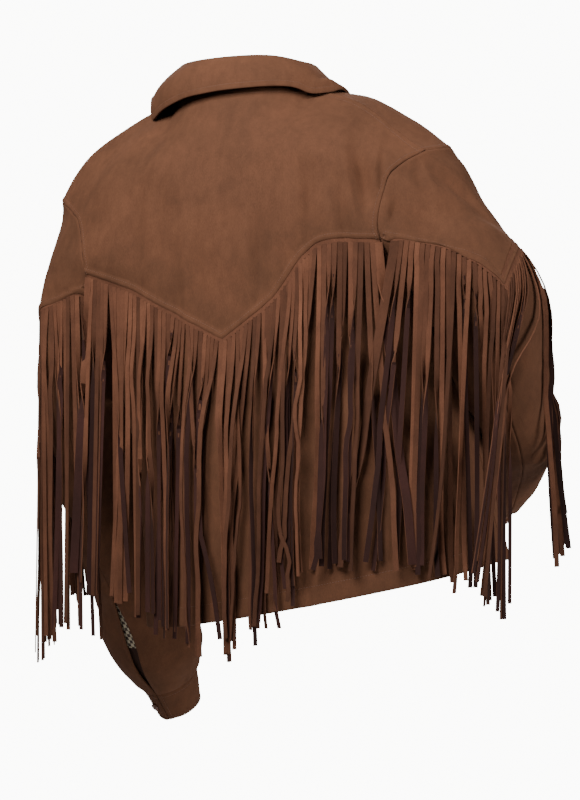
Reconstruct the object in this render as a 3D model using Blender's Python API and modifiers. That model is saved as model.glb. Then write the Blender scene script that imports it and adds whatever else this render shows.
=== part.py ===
"""Fringed suede western jacket, filled out as it is worn, with no wearer inside it.

Metres, +Z up. The front faces -Y and the wearer's left is +X. The origin is between the neck's two
sides, where the shoulders hold the jacket up. Tables are in millimetres and degrees, as their names say.
"""

import math

import bmesh
import bpy
import numpy as np
from mathutils import Vector
from mathutils.bvhtree import BVHTree

MM = 0.001

# Cloth and making sizes, in metres.
CLOTH = 0.002  # bonded suede wall
SEAM_GAP = 0.0004  # between panels that meet at a seam
SIDE_INSET = 0.0016  # share of a panel's half width that its side edges stay inside the side seam
SET_IN_GAP = 0.0010  # between the armhole edge and the sleeve head
LINE_STEP = 0.004  # parameter step of a surface normal

# Neck opening.
NECK = {"x": 22, "y": 0, "half": 88, "back": 64, "front": 94, "nape_z": 0, "drop": 64, "side": 80}
NECK_TILT = -0.03  # rise along +X: the wearer's right shoulder is held up

# Torso sections, bottom to top. mid_z and edge_z are heights at the centre and at the side or armhole
# edge; half is half the width; mid_y and edge_y are depths; wrap is the arc's half angle; tilt is dz/dx;
# power, where it is given, squares the section towards its side edges.
SECTION_COLUMNS = ("x", "mid_z", "edge_z", "half", "mid_y", "edge_y", "wrap", "tilt", "power")
BACK_SECTIONS_MM = {
    "hem": (-81, -618, -601, 230, 146, 0, 90, -0.19),
    "hip": (-66, -512, -505, 220, 144, 0, 90, -0.17),
    "waist": (-42, -415, -410, 210, 138, -2, 90, -0.145),
    "underarm": (-19, -325, -325, 209, 128, -4, 90, -0.12),
    "across": (4, -205, -205, 194, 121, 88, 52, -0.10),
    "blade": (11, -118, -140, 204, 112, 79, 50, -0.095),
    "yoke_top": (14, -52, -119, 220, 92, 63, 48, -0.10),
}
FRONT_SECTIONS_MM = {
    "hem": (-81, -605, -601, 230, -150, 0, 90, -0.19),
    "hip": (-66, -510, -505, 220, -154, 0, 90, -0.17),
    "waist": (-42, -412, -410, 210, -153, -2, 90, -0.145),
    "underarm": (-19, -322, -325, 209, -146, -4, 90, -0.12, 0.82),
    "across": (4, -225, -205, 196, -140, -62, 60, -0.10),
    "chest": (11, -150, -140, 206, -118, -52, 55, -0.095),
    "collar_bone": (14, -108, -112, 224, -104, -36, 50, -0.11),
}
# Where each section, then the crest and the top edge, lies between the hem (0) and the top (1).
BACK_KNOTS = (0.0, 0.155, 0.30, 0.435, 0.61, 0.74, 0.875, 1.0)
FRONT_KNOTS = (0.0, 0.155, 0.30, 0.435, 0.60, 0.715, 0.815, 0.94, 1.0)
# The shoulder lines: the seam at the back of the crest, and the crest itself, as distance out from
# the shoulders' centre, depth and height. The left arm hangs, so its shoulder falls further.
SHOULDER_COLUMNS = ("out", "y", "z")
SHOULDER_SEAM_MM = {
    "right": ((82, 120, 160, 205, 225, 240), (12, 17, 26, 36, 40, 43), (1, -6, -22, -56, -71, -80)),
    "left": ((82, 120, 160, 205, 230, 249), (12, 17, 26, 36, 40, 42), (-3, -15, -36, -66, -94, -125)),
}
SHOULDER_CREST_MM = {
    "right": ((90, 120, 160, 205, 230, 252), (-16, -16, -15, -13, -12, -12), (1, -5, -13, -38, -56, -73)),
    "left": ((90, 120, 160, 205, 234, 257), (-16, -16, -15, -13, -12, -12), (-3, -13, -29, -55, -86, -122)),
}
SHOULDER_CENTRE_X = 12

# Yoke seams, as height over x.
BACK_YOKE_SEAM_MM = {"x": (-196, -160, -138, -118, -104, -92, -78, -66, -38, -4, 42, 95, 150, 200),
                     "z": (-184, -182, -182, -187, -198, -213, -234, -250, -273, -298, -277, -252, -229, -214)}
FRONT_YOKE_SEAM_MM = {"out": (0, 40, 100, 150, 205), "z": (-186, -196, -214, -196, -172)}

COLUMNS_BACK = 26
COLUMNS_FRONT = 12
BAND_LAP = 0.045  # the fronts' lap past the centre and the band's inner edge, as shares of the half width
BAND_INNER = 0.042
ROWS_LOW = 6  # hem to underarm
ROWS_ARMHOLE = 4  # underarm to yoke seam
ROWS_YOKE = 7

# Soft folds of the back and fronts: centre, lean from vertical, half length, half width and depth.
FOLD_COLUMNS = ("x", "z", "lean", "length", "width", "depth")
BACK_FOLDS_MM = {
    "right_blade": (-155, -120, 8, 62, 13, -6),
    "right_armhole": (-182, -140, 14, 48, 10, -5),
    "left_blade": (120, -185, 0, 90, 20, -6),
    "yoke_left": (62, -225, 3, 70, 13, -5),
    "yoke_middle": (14, -235, -3, 70, 12, -4),
    "small_right": (-60, -470, 6, 150, 26, -7),
    "small_left": (70, -450, -4, 140, 26, -7),
    "hem_swing": (-190, -500, 10, 130, 24, 6),
}
FRONT_FOLDS_MM = {
    "left_drag": (120, -330, -12, 130, 18, -6),
    "right_drag": (-160, -330, 14, 130, 18, -6),
    "left_swing": (60, -500, -3, 120, 22, -5),
    "right_swing": (-200, -500, 6, 120, 22, -6),
}

# Sleeve sections from under the armhole to the cuff: centre, lift of the outward line over the
# horizontal, its turn towards the front, half size outwards and half size front to back.
ARM_COLUMNS = ("x", "y", "z", "lift", "turn", "out", "side")
RIGHT_ARM_MM = {
    "head": (-271, -2, -240, 68, 0, 83, 76),
    "biceps": (-294, -14, -288, 34, 0, 71, 73),
    "elbow_over": (-300, -32, -345, 18, 4, 49, 68),
    "elbow_under": (-301, -62, -389, 8, 10, 49, 60),
    "forearm": (-279, -114, -424, 4, 24, 48, 53),
    "wrist_full": (-243, -168, -462, 4, 34, 49, 48),
    "cuff_seam": (-219, -199, -490, 2, 38, 39, 36),
}
LEFT_ARM_MM = {
    "head": (242, 0, -280, 68, 0, 97, 78),
    "biceps": (244, -4, -356, 32, 0, 55, 78),
    "elbow_over": (239, -18, -440, 8, 0, 48, 74),
    "elbow_under": (235, -46, -520, 4, 4, 47, 70),
    "forearm": (226, -86, -600, 2, 8, 53, 64),
    "wrist_full": (216, -122, -686, 0, 10, 66, 56),
    "cuff_seam": (207, -146, -733, 0, 10, 34, 42),
}
CUFF_BOTTOM_SIZE = 0.78
SLEEVE_ROWS_CAP = 4
SLEEVE_ROWS_LOW = 12
# Degrees of more columns where the yoke seam turns quickly.
SLEEVE_EXTRA_COLUMNS = {"right": (103.0, 106.5, 109.8, 113.0), "left": (87.5, 93.0, 96.5, 114.0)}
# Sleeve yoke seams: place along the sleeve against degrees round it. The first pair is the point.
SLEEVE_YOKE = {
    "right": {"point": 128, "degrees": (97, 104, 110, 114, 128, 146, 176, 200, 215, 230, 245, 260, 275),
              "v": (0.014, 0.055, 0.15, 0.225, 0.30, 0.290, 0.280, 0.265, 0.235, 0.195, 0.14, 0.08, 0.014)},
    "left": {"point": 128, "degrees": (76, 88, 94, 98, 106, 128, 146, 176, 200, 230, 255, 271),
             "v": (0.014, 0.02, 0.045, 0.095, 0.145, 0.225, 0.215, 0.20, 0.18, 0.13, 0.06, 0.014)},
}
# Sleeve folds in sleeve terms: place along it, degrees round it, half sizes of both, slope and depth.
SLEEVE_FOLDS_MM = {
    "elbow_crease": (0.575, 185, 0.035, 60, -9),
    "elbow_upper": (0.49, 190, 0.05, 55, 5),
    "elbow_inner": (0.56, 330, 0.04, 60, -8),
    "forearm_drag": (0.78, 100, 0.10, 30, -4),
    "cuff_blouse": (0.93, 60, 0.05, 40, 5),
    "cap_round": (0.085, 185, 0.06, 60, 3),
    "underarm_ease": (0.34, 350, 0.07, 40, -3),
}
SEAM_INSET = 0.28  # degrees that a sleeve piece's edges stay inside its seams
SLIT_V = (0.70, 1.0)
SLIT_SHARE = 0.52
FACING_HALF = 14.0  # degrees to each side of the slit
FACING_CLEAR = 0.0042
FACING_THICK = 0.0012
CUFF_START = 0.0007
CUFF_HEIGHT = 0.044
CUFF_ROUND = 24
CUFF_ROWS = 2

# Fringe.
SLEEVE_FRINGE_END = 240.0  # degrees round the sleeve
STRAND_LENGTH = 0.372
STRAND_PITCH = 0.0086
STRAND_WIDTH = 0.0066
STRAND_THICK = 0.0013
STRAND_SHARE = 0.80  # of the room between neighbours, seen from above
STRIP_DROP = 0.0012  # strip's top under the seam
STRIP_HEIGHT = 0.0065
STRIP_LIFT = 0.0011  # strip's back over the panel
STRAND_CLEAR = 0.0045  # strand's middle over the cloth
STRAND_LOOK = 0.03  # how far off cloth is looked for
STRAND_SPARE = 0.0003  # kept free round a strand
STRAND_APART = 0.0012  # between strands that hang side by side
STRAND_OFF = 0.0026  # least from a solid strand's middle to the cloth
STRAND_CUTS = (1, 4, 8, 14)  # links of the chain that the solid strand keeps
CHAIN_LINKS = 14
CHAIN_PASSES = 6
CHAIN_LAST_PASSES = 30
CHAIN_STEPS = 170
CHAIN_TIME = 1 / 110
CHAIN_DAMPING = 0.965

# Collar.
STAND_HEIGHT_BACK = 0.034
STAND_HEIGHT_FRONT = 0.022
STAND_LEAN = 0.02
STAND_SEAM = 0.003  # how far the stand reaches down inside the neck edge
STAND_INSET = 0.0036
STAND_INSET_FRONT = 0.0036
COLLAR_END = 171  # degrees from the nape to the collar's front end
COLLAR_COLUMNS = 26
LEAF_WIDTH = {"angle": (0, 55, 90, 171), "width": (0.046, 0.060, 0.072, 0.084)}
LEAF_SPREAD = {"angle": (0, 90, 171), "degrees": (34, 36, 36)}
LEAF_ROWS = 4
LEAF_CLEAR = 0.0068

# Front closing.
BAND_LIFT = 0.0010
PLACKET_THICK = 0.0014
BUTTONS = 6
BUTTON_OFF = 0.0006
FRONT_BUTTON = (0.0085, 0.0034, 14)  # radius, thickness, steps round it
CUFF_BUTTON = (0.0055, 0.0028, 10)

SUEDE = (0.150, 0.066, 0.034, 1.0)
SUEDE_BACK = (0.060, 0.026, 0.020, 1.0)
BUTTON_BROWN = (0.045, 0.020, 0.012, 1.0)
FACING = (0.30, 0.27, 0.22, 1.0)


# ---------------------------------------------------------------- scene and meshes


def clear_scene():
    for obj in list(bpy.data.objects):
        bpy.data.objects.remove(obj)


def material(name, colour, roughness):
    made = bpy.data.materials.new(name)
    made.use_nodes = True
    shader = made.node_tree.nodes["Principled BSDF"]
    shader.inputs["Base Color"].default_value = colour
    shader.inputs["Roughness"].default_value = roughness
    shader.inputs["Metallic"].default_value = 0.0
    return made


def add_object(name, points, faces, finish, group):
    """A mesh object from points and faces, with its faces turned outwards."""
    mesh = bpy.data.meshes.new(name)
    mesh.from_pydata([tuple(map(float, p)) for p in points], [], faces)
    work = bmesh.new()
    work.from_mesh(mesh)
    bmesh.ops.recalc_face_normals(work, faces=work.faces)
    work.to_mesh(mesh)
    work.free()
    mesh.materials.append(finish)
    mesh.shade_smooth()
    obj = bpy.data.objects.new(name, mesh)
    group.objects.link(obj)
    return obj


def cut_quad(sheet, r, c, n):
    """The two triangles of a grid's quad, as places in the grid, cut along its shorter diagonal."""
    one = np.linalg.norm(sheet[r, c] - sheet[r + 1, n])
    other = np.linalg.norm(sheet[r, n] - sheet[r + 1, c])
    if one <= other:
        return ((r, c), (r, n), (r + 1, n)), ((r, c), (r + 1, n), (r + 1, c))
    return ((r, c), (r, n), (r + 1, c)), ((r, n), (r + 1, n), (r + 1, c))


def wall_faces(outer, closed):
    """Faces of a wall: an outer sheet, an inner sheet behind it, and the rims that join them."""
    rows, cols = outer.shape[:2]
    sheet = rows * cols

    def at(layer, r, c):
        return layer * sheet + r * cols + c % cols

    spans = cols if closed else cols - 1
    faces = []
    for r in range(rows - 1):
        for c in range(spans):
            for triangle in cut_quad(outer, r, c, (c + 1) % cols):
                faces.append(tuple(at(0, *place) for place in triangle))
                faces.append(tuple(at(1, *place) for place in triangle[::-1]))
    for c in range(spans):
        faces.append((at(0, 0, c), at(1, 0, c), at(1, 0, c + 1), at(0, 0, c + 1)))
        last = rows - 1
        faces.append((at(0, last, c), at(0, last, c + 1), at(1, last, c + 1), at(1, last, c)))
    if not closed:
        for r in range(rows - 1):
            faces.append((at(0, r, 0), at(0, r + 1, 0), at(1, r + 1, 0), at(1, r, 0)))
            last = cols - 1
            faces.append((at(0, r, last), at(1, r, last), at(1, r + 1, last), at(0, r + 1, last)))
    return faces


def add_wall(name, outer, inner, finish, group, closed=False):
    points = np.concatenate([outer.reshape(-1, 3), inner.reshape(-1, 3)])
    return add_object(name, points, wall_faces(outer, closed), finish, group)


def grid_ways(sheet, like):
    """Ways out of a coarse sheet's inner points, on the same side as the ways in like; its edges keep
    those ways, which the neighbouring piece shares."""
    ways = like.copy()
    across = sheet[1:-1, 2:] - sheet[1:-1, :-2]
    up = sheet[2:, 1:-1] - sheet[:-2, 1:-1]
    own = unit(np.cross(across, up))
    same = (own * like[1:-1, 1:-1]).sum(-1, keepdims=True)
    ways[1:-1, 1:-1] = np.where(same < 0, -own, own)
    return ways


def surface_tree(sheets):
    """One search tree over sheets of points, each given as (points, flipped), facing outwards."""
    points, faces = [], []
    for sheet, flipped in sheets:
        rows, cols = sheet.shape[:2]
        base = len(points)
        points += [Vector(p) for p in sheet.reshape(-1, 3)]
        for r in range(rows - 1):
            for c in range(cols - 1):
                for triangle in cut_quad(sheet, r, c, c + 1):
                    face = tuple(base + row * cols + col for row, col in triangle)
                    faces.append(face[::-1] if flipped else face)
    return BVHTree.FromPolygons(points, faces)


# ---------------------------------------------------------------- curves and lofts


def smooth_through(x, y, at, slopes=None):
    """Cubic through the points (x, y), read at the values at. slopes: slopes set by hand, by index."""
    x, y, at = np.asarray(x, float), np.asarray(y, float), np.asarray(at, float)
    flat = y.reshape(len(x), -1)
    step = np.diff(x)[:, None]
    rise = np.diff(flat, axis=0) / step
    slope = np.zeros_like(flat)
    slope[1:-1] = (flat[2:] - flat[:-2]) / (x[2:] - x[:-2])[:, None]
    slope[0], slope[-1] = rise[0], rise[-1]
    for index, value in (slopes or {}).items():
        slope[index] = value
    k = np.clip(np.searchsorted(x, at, side="right") - 1, 0, len(x) - 2).reshape(-1)
    h = (x[k + 1] - x[k])
    s = ((at.reshape(-1) - x[k]) / h)[:, None]
    h = h[:, None]
    value = ((2 * s**3 - 3 * s**2 + 1) * flat[k] + (s**3 - 2 * s**2 + s) * h * slope[k]
             + (3 * s**2 - 2 * s**3) * flat[k + 1] + (s**3 - s**2) * h * slope[k + 1])
    return value.reshape(at.shape + y.shape[1:])


def loft(knots, curves, t, slopes=None):
    """Points at t of a smooth surface through curves (one per knot). curves: (knots, columns, 3);
    t: (rows, columns); slopes: per knot index, (columns, 3)."""
    out = np.empty(t.shape + (3,))
    for c in range(t.shape[1]):
        by_hand = {k: value[c] for k, value in (slopes or {}).items()}
        out[:, c] = smooth_through(knots, curves[:, c], t[:, c], by_hand)
    return out


def smooth_step(x, low, high):
    s = np.clip((x - low) / (high - low), 0.0, 1.0)
    return s * s * (3 - 2 * s)


def unit(v):
    return v / np.maximum(np.linalg.norm(v, axis=-1, keepdims=True), 1e-12)


# ---------------------------------------------------------------- torso


def neck_line(angle_deg, out=0.0):
    """The neck seam. 0 degrees is the nape, 180 the centre front, positive towards the wearer's left."""
    b = np.radians(np.asarray(angle_deg, float))
    depth = np.where(np.cos(b) > 0, NECK["back"], NECK["front"]) * MM + out
    x = NECK["x"] * MM + (NECK["half"] * MM + out) * np.sin(b)
    y = NECK["y"] * MM + depth * np.cos(b)
    fall = ((1 - np.cos(b)) / 2) ** 4.5
    z = (NECK["nape_z"] - NECK["drop"] * fall) * MM + NECK_TILT * (x - NECK["x"] * MM)
    return np.stack([x, y, z], -1)


def section(row, a):
    """One torso section, an arc from the wearer's right edge (a = -1) to the left edge (a = 1)."""
    s = dict(zip(SECTION_COLUMNS, row))
    wrap = math.radians(s["wrap"])
    x = s["half"] * np.sin(a * wrap) / math.sin(wrap)
    bow = (np.cos(a * wrap) - math.cos(wrap)) / (1 - math.cos(wrap))
    bow = np.maximum(bow, 0) ** s.get("power", 1)
    y = s["edge_y"] + (s["mid_y"] - s["edge_y"]) * bow
    z = s["mid_z"] + (s["edge_z"] - s["mid_z"]) * a**2 + s["tilt"] * x
    return np.stack([x + s["x"], y, z], -1) * MM


def shoulder_line(tables, a, neck_share):
    """A shoulder curve outside the neck: |a| from neck_share to 1 runs from the neck to the armhole."""
    sides = []
    for name, sign in (("right", -1.0), ("left", 1.0)):
        out_at, y_at, z_at = tables[name]
        share = np.clip((np.abs(a) - neck_share) / (1 - neck_share), 0, 1)
        out = out_at[0] + (out_at[-1] - out_at[0]) * share
        x = sign * out + NECK["x"] + (SHOULDER_CENTRE_X - NECK["x"]) * share
        sides.append(np.stack([x, smooth_through(out_at, y_at, out), smooth_through(out_at, z_at, out)], -1))
    return np.where((a < 0)[..., None], sides[0], sides[1]) * MM


NECK_SHARE = 0.36  # share of the half width that the neck takes on the top edge


def top_edge(a, front):
    """The panel's top edge: the neck line, then the shoulder seam."""
    a = np.asarray(a, float)
    inside = np.clip(np.abs(a) / NECK_SHARE, 0, 1)
    start = 180 if front else 0
    angle = np.sign(a) * (start + (NECK["side"] - start) * inside)
    angle = np.where(a == 0, start, angle)
    neck = neck_line(angle)
    shoulder = shoulder_line(SHOULDER_SEAM_MM, a, NECK_SHARE)
    return np.where((np.abs(a) < NECK_SHARE)[..., None], neck, shoulder)


def crest_edge(a):
    """The front panel's line over the crest of the shoulder, and just outside the neck line."""
    inside = np.clip(np.abs(a) / NECK_SHARE, 0, 1)
    angle = np.sign(a) * (180 + (NECK["side"] - 180) * inside + 22 * inside**3)
    angle = np.where(a == 0, 180, angle)
    near_neck = neck_line(angle, out=0.013 * (1 - 0.75 * inside**3))
    near_neck[..., 2] -= 0.010 * (1 - 0.4 * inside)
    shoulder = shoulder_line(SHOULDER_CREST_MM, a, NECK_SHARE)
    blend = smooth_step(np.abs(a), NECK_SHARE * 0.75, NECK_SHARE * 1.35)[..., None]
    return near_neck * (1 - blend) + shoulder * blend


class Torso:
    """The back or the front surface: columns a from -1 to 1, rows t from hem (0) to top (1)."""

    def __init__(self, front):
        self.front = front
        self.rows = FRONT_SECTIONS_MM if front else BACK_SECTIONS_MM
        self.folds = FRONT_FOLDS_MM if front else BACK_FOLDS_MM
        self.knots = np.array(FRONT_KNOTS if front else BACK_KNOTS)
        self.t_underarm = self.knots[list(self.rows).index("underarm")]

    def curves(self, a):
        made = [section(row, a) for row in self.rows.values()]
        if self.front:
            made.append(crest_edge(a))
        made.append(top_edge(a, self.front))
        return np.stack(made)

    def plain(self, a, t):
        """Points without folds. a: (columns,), t: (rows, columns). Below the underarm the side edges of
        back and front run alike, whatever the armholes above them do."""
        curves = self.curves(a)
        k = list(self.rows).index("underarm")
        below = (curves[k] - curves[k - 1]) / (self.knots[k] - self.knots[k - 1])
        level = (curves[k + 1] - curves[k - 1]) / (self.knots[k + 1] - self.knots[k - 1])
        share = smooth_step(np.abs(a), 0.75, 1.0)[:, None]
        return loft(self.knots, curves, t, {k: level * (1 - share) + below * share})

    def normals(self, a, t):
        step_a, step_t = LINE_STEP, LINE_STEP
        across = self.plain(np.clip(a + step_a, -1, 1), t) - self.plain(np.clip(a - step_a, -1, 1), t)
        up = self.plain(a, np.clip(t + step_t, 0, 1)) - self.plain(a, np.clip(t - step_t, 0, 1))
        n = unit(np.cross(across, up))
        return n if self.front else -n

    def fold_depth(self, p):
        """How far folds move a point outwards."""
        depth = np.zeros(p.shape[:-1])
        for row in self.folds.values():
            f = dict(zip(FOLD_COLUMNS, row))
            dx, dz = p[..., 0] - f["x"] * MM, p[..., 2] - f["z"] * MM
            lean = math.radians(f["lean"])
            along = (dz * math.cos(lean) + dx * math.sin(lean)) / (f["length"] * MM)
            side = (dx * math.cos(lean) - dz * math.sin(lean)) / (f["width"] * MM)
            depth += f["depth"] * MM * np.exp(-along**2 - side**2)
        return depth

    def points(self, a, t, out=0.0, rim=None):
        """Points of the folded cloth, moved outwards by out. Where rim holds a way out, that is used."""
        p = self.plain(a, t)
        n = self.normals(a, t)
        folded = p + n * self.fold_depth(p)[..., None]
        if rim is not None:
            n = np.where(np.isnan(rim), n, rim)
        return folded + n * np.asarray(out)[..., None]

    def seam_t(self, a):
        """The yoke seam's t in each column, where the cloth's height is the seam's."""
        low = np.full(len(a), self.t_underarm)
        high = np.full(len(a), 0.985)
        for _ in range(36):
            mid = (low + high) / 2
            p = self.plain(a, mid[None])[0]
            over = p[:, 2] > self.seam_height(p[:, 0])
            high = np.where(over, mid, high)
            low = np.where(over, low, mid)
        return (low + high) / 2

    def seam_height(self, x):
        if self.front:
            out = np.abs(x / MM - SHOULDER_CENTRE_X)
            z = smooth_through(FRONT_YOKE_SEAM_MM["out"], FRONT_YOKE_SEAM_MM["z"], np.clip(out, 0, 205))
            return z * MM - 0.08 * (x - SHOULDER_CENTRE_X * MM)
        knots, z = BACK_YOKE_SEAM_MM["x"], BACK_YOKE_SEAM_MM["z"]
        tip = knots.index(-4)
        at = np.clip(x / MM, knots[0], knots[-1])
        right = smooth_through(knots[: tip + 1], z[: tip + 1], np.minimum(at, knots[tip]))
        left = smooth_through(knots[tip:], z[tip:], np.maximum(at, knots[tip]))
        return np.where(at < knots[tip], right, left) * MM

    def low_rows(self, seam):
        """Rows of the panel under the yoke, one of them at the underarm in the edge columns."""
        share = self.t_underarm / seam
        low = np.linspace(0, 1, ROWS_LOW + 1)[:, None] * share[None]
        high = share[None] + (1 - share[None]) * np.linspace(0, 1, ROWS_ARMHOLE + 1)[1:, None]
        return np.concatenate([low, high]) * seam[None]


def gap_in_t(torso, a, t):
    """The change of t that moves a point by the seam gap."""
    step = torso.plain(a, (t + LINE_STEP)[None]) - torso.plain(a, (t - LINE_STEP)[None])
    return SEAM_GAP * 2 * LINE_STEP / np.linalg.norm(step[0], axis=1)


class Panels:
    """The panel under a yoke and the yoke: their rows, and the ways out that neighbours share."""

    def __init__(self, torso, other, a):
        self.torso, self.a = torso, a
        seam = torso.seam_t(a)
        gap = gap_in_t(torso, a, seam)
        top_gap = gap_in_t(torso, a, np.full(len(a), 1 - LINE_STEP))
        share = np.linspace(0, 1, ROWS_YOKE + 1)[:, None]
        self.t_low = torso.low_rows(seam)
        self.t_yoke = (seam + gap)[None] * (1 - share) + share * (1 - top_gap)[None]
        self.rim_low = np.full(self.t_low.shape + (3,), np.nan)
        self.rim_yoke = np.full(self.t_yoke.shape + (3,), np.nan)
        top = np.ones((1, len(a)))
        both = unit(torso.normals(a, top) + other.normals(a, top))[0]
        on_shoulder = np.abs(a) > NECK_SHARE
        self.rim_yoke[-1, on_shoulder] = both[on_shoulder]

    def share_armhole(self, column, rim):
        """Sets the way out at an armhole edge, from the underarm up."""
        self.rim_low[ROWS_LOW:, column] = rim[: ROWS_ARMHOLE + 1]
        self.rim_yoke[1:, column] = rim[ROWS_ARMHOLE + 1:]
        self.rim_yoke[0, column] = rim[ROWS_ARMHOLE]

    def build(self, names, dive, finish, group):
        sheets = []
        for name, t, rim in zip(names, (self.t_low, self.t_yoke), (self.rim_low, self.rim_yoke)):
            out = np.broadcast_to(dive, t.shape)
            outer = self.torso.points(self.a, t, out, rim)
            ways = unit(outer - self.torso.points(self.a, t, out - CLOTH, rim))
            add_wall(name, outer, outer - CLOTH * grid_ways(outer, ways), finish, group)
            sheets.append(outer)
        return sheets


def edge_in(a):
    return np.clip(a, -1 + SIDE_INSET, 1 - SIDE_INSET)


def front_columns(side):
    """Columns of one front, from its centre edge to the side. The right front laps over the left."""
    rest = np.linspace(BAND_INNER, 1, COLUMNS_FRONT)
    return edge_in(side * np.concatenate([[-BAND_LAP], rest]))


def under_lap(a, side):
    """The left front dives under the right front near the centre."""
    if side < 0:
        return np.zeros(len(a))
    return -(CLOTH + 2.5 * SEAM_GAP) * (1 - smooth_step(a, 0.05, 0.14))


# ---------------------------------------------------------------- sleeves


class Sleeve:
    """One sleeve: v from the armhole (0) to the cuff seam (1), and an angle round it, from the underarm
    over the back (90) and the outer side (180) to the front (270)."""

    def __init__(self, side, back, front):
        self.side = side
        self.name = "left" if side > 0 else "right"
        self.table = LEFT_ARM_MM if side > 0 else RIGHT_ARM_MM
        self.loop, self.angle, self.seam_back, self.seam_front = self.armhole(back, front)
        self.knots = self.knots_along()
        self.rim_back, self.rim_front = self.share_rims()

    def armhole(self, back, front):
        """The armhole's points, their angles, and the columns where the sleeve's two seams start."""
        edge = edge_in(np.array([float(self.side)]))
        halves, seam_at, ways = [], [], []
        for torso, other in ((back, front), (front, back)):
            panels = Panels(torso, other, edge)
            t = np.concatenate([panels.t_low[ROWS_LOW:], panels.t_yoke[1:]])
            halves.append(torso.points(edge, t)[:, 0])
            ways.append(torso.normals(edge, t)[:, 0])
            seam_at.append(ROWS_ARMHOLE)
        joint = {0: unit(ways[0][0] + ways[1][0]), -1: unit(ways[0][-1] + ways[1][-1])}
        for half in ways:
            half[0], half[-1] = joint[0], joint[-1]
        meet = (halves[0][-1] + halves[1][-1]) / 2
        halves[0][-1] = halves[1][-1] = meet
        loop = np.concatenate([halves[0], halves[1][-2:0:-1]])
        self.body_ways = np.concatenate([ways[0], ways[1][-2:0:-1]])
        angles = []
        for half in halves:
            run = np.concatenate([[0], np.cumsum(np.linalg.norm(np.diff(half, axis=0), axis=1))])
            angles.append(180 * run / run[-1])
        angle = np.concatenate([angles[0], 360 - angles[1][-2:0:-1]])
        return loop, angle, seam_at[0] - (self.side > 0), len(loop) - seam_at[1]

    def share_rims(self):
        """Ways out at the armhole for the body's edge. Where the two surfaces run on into each other
        the sleeve uses the same ones; where they fold back on each other, each keeps its own."""
        own = self.own_normals(self.angle, np.full((1, len(self.angle)), 0.004))[0]
        share = smooth_step((own * self.body_ways).sum(1), -0.1, 0.5)[:, None]
        self.rim = unit(own + share * self.body_ways)
        body = unit(self.body_ways + share * own)
        count = ROWS_ARMHOLE + 1 + ROWS_YOKE
        return body[:count], np.concatenate([body[:1], body[:count - 1:-1], body[count - 1: count]])

    def knots_along(self):
        centres = np.array([self.loop.mean(0)] + [np.array(r[:3]) * MM for r in self.table.values()])
        run = np.concatenate([[0], np.cumsum(np.linalg.norm(np.diff(centres, axis=0), axis=1))])
        self.centres = centres
        return run / run[-1]

    def ring(self, index, angle):
        """The points of one section of the table at these angles."""
        row = dict(zip(ARM_COLUMNS, list(self.table.values())[index]))
        lift, turn = math.radians(row["lift"]), math.radians(row["turn"])
        out = np.array([self.side * math.cos(lift) * math.cos(turn), -math.cos(lift) * math.sin(turn),
                        math.sin(lift)])
        k = index + 1
        run = self.centres[min(k + 1, len(self.centres) - 1)] - self.centres[k - 1]
        axis = unit(run - np.dot(run, out) * out)
        back = -self.side * np.cross(axis, out)
        b = np.radians(angle)[:, None]
        reach = -np.cos(b) * row["out"] * MM * out + np.sin(b) * row["side"] * MM * back
        return self.centres[k] + reach

    def end_axis(self):
        """The way that the sleeve's end faces."""
        ends = self.ring(len(self.table) - 1, np.array([0.0, 90.0, 180.0]))
        return unit(-self.side * np.cross(ends[2] - ends[0], ends[1] - self.centres[-1]))

    def curves(self, angle):
        wrapped = np.mod(angle, 360)
        around = np.concatenate([self.angle, [360.0]])
        closed = np.concatenate([self.loop, self.loop[:1]])
        first = np.stack([np.interp(wrapped, around, closed[:, k]) for k in range(3)], -1)
        rings = [self.ring(i, wrapped) for i in range(len(self.table))]
        return np.stack([first] + rings)

    def plain(self, angle, v):
        return loft(self.knots, self.curves(angle), v)

    def own_normals(self, angle, v):
        step = 3.0
        round_it = self.plain(angle + step, v) - self.plain(angle - step, v)
        along = self.plain(angle, np.clip(v + 0.012, 0, 1)) - self.plain(angle, np.clip(v - 0.012, 0, 1))
        return -self.side * unit(np.cross(along, round_it))

    def normals(self, angle, v):
        own = self.own_normals(angle, v)
        around = np.concatenate([self.angle, [360.0]])
        closed = np.concatenate([self.rim, self.rim[:1]])
        wrapped = np.mod(angle, 360)
        rim = np.stack([np.interp(wrapped, around, closed[:, k]) for k in range(3)], -1)
        own_share = smooth_step(v, 0.003, 0.03)[..., None]
        return unit(rim[None] * (1 - own_share) + own * own_share)

    def fold_depth(self, angle, v):
        depth = np.zeros(v.shape)
        for place, degrees, half_v, half_deg, rise in SLEEVE_FOLDS_MM.values():
            turn = (angle - degrees + 180) % 360 - 180
            depth += rise * MM * np.exp(-((v - place) / half_v) ** 2 - (turn / half_deg)[None] ** 2)
        return depth * smooth_step(v, 0.0, 0.06)

    def points(self, angle, v, out=0.0):
        p, n = self.plain(angle, v), self.normals(angle, v)
        return p + n * (self.fold_depth(angle, v) + out)[..., None]

    def yoke_v(self, angle):
        """The sleeve yoke seam's v at an angle."""
        row = SLEEVE_YOKE[self.name]
        knots, v, point = row["degrees"], row["v"], row["point"]
        tip = knots.index(point)
        at = np.clip(angle, knots[0], knots[-1])
        before = smooth_through(knots[: tip + 1], v[: tip + 1], np.minimum(at, point))
        after = smooth_through(knots[tip:], v[tip:], np.maximum(at, point))
        return np.where(at < point, before, after)


def with_tip(angles, tip):
    """The angles with the nearest one moved onto the tip."""
    moved = angles.copy()
    moved[1:-1][np.argmin(abs(moved[1:-1] - tip))] = tip
    return moved


def open_slit(sheet, v, column, inner, amount):
    """Draws a seam's edge column towards the column beside it, to open the seam near the cuff."""
    low, high = SLIT_V
    share = amount * np.sin(np.pi * np.clip((v[:, column] - low) / (high - low), 0, 1)) ** 1.2
    sheet[:, column] += (sheet[:, inner] - sheet[:, column]) * share[:, None]


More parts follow.
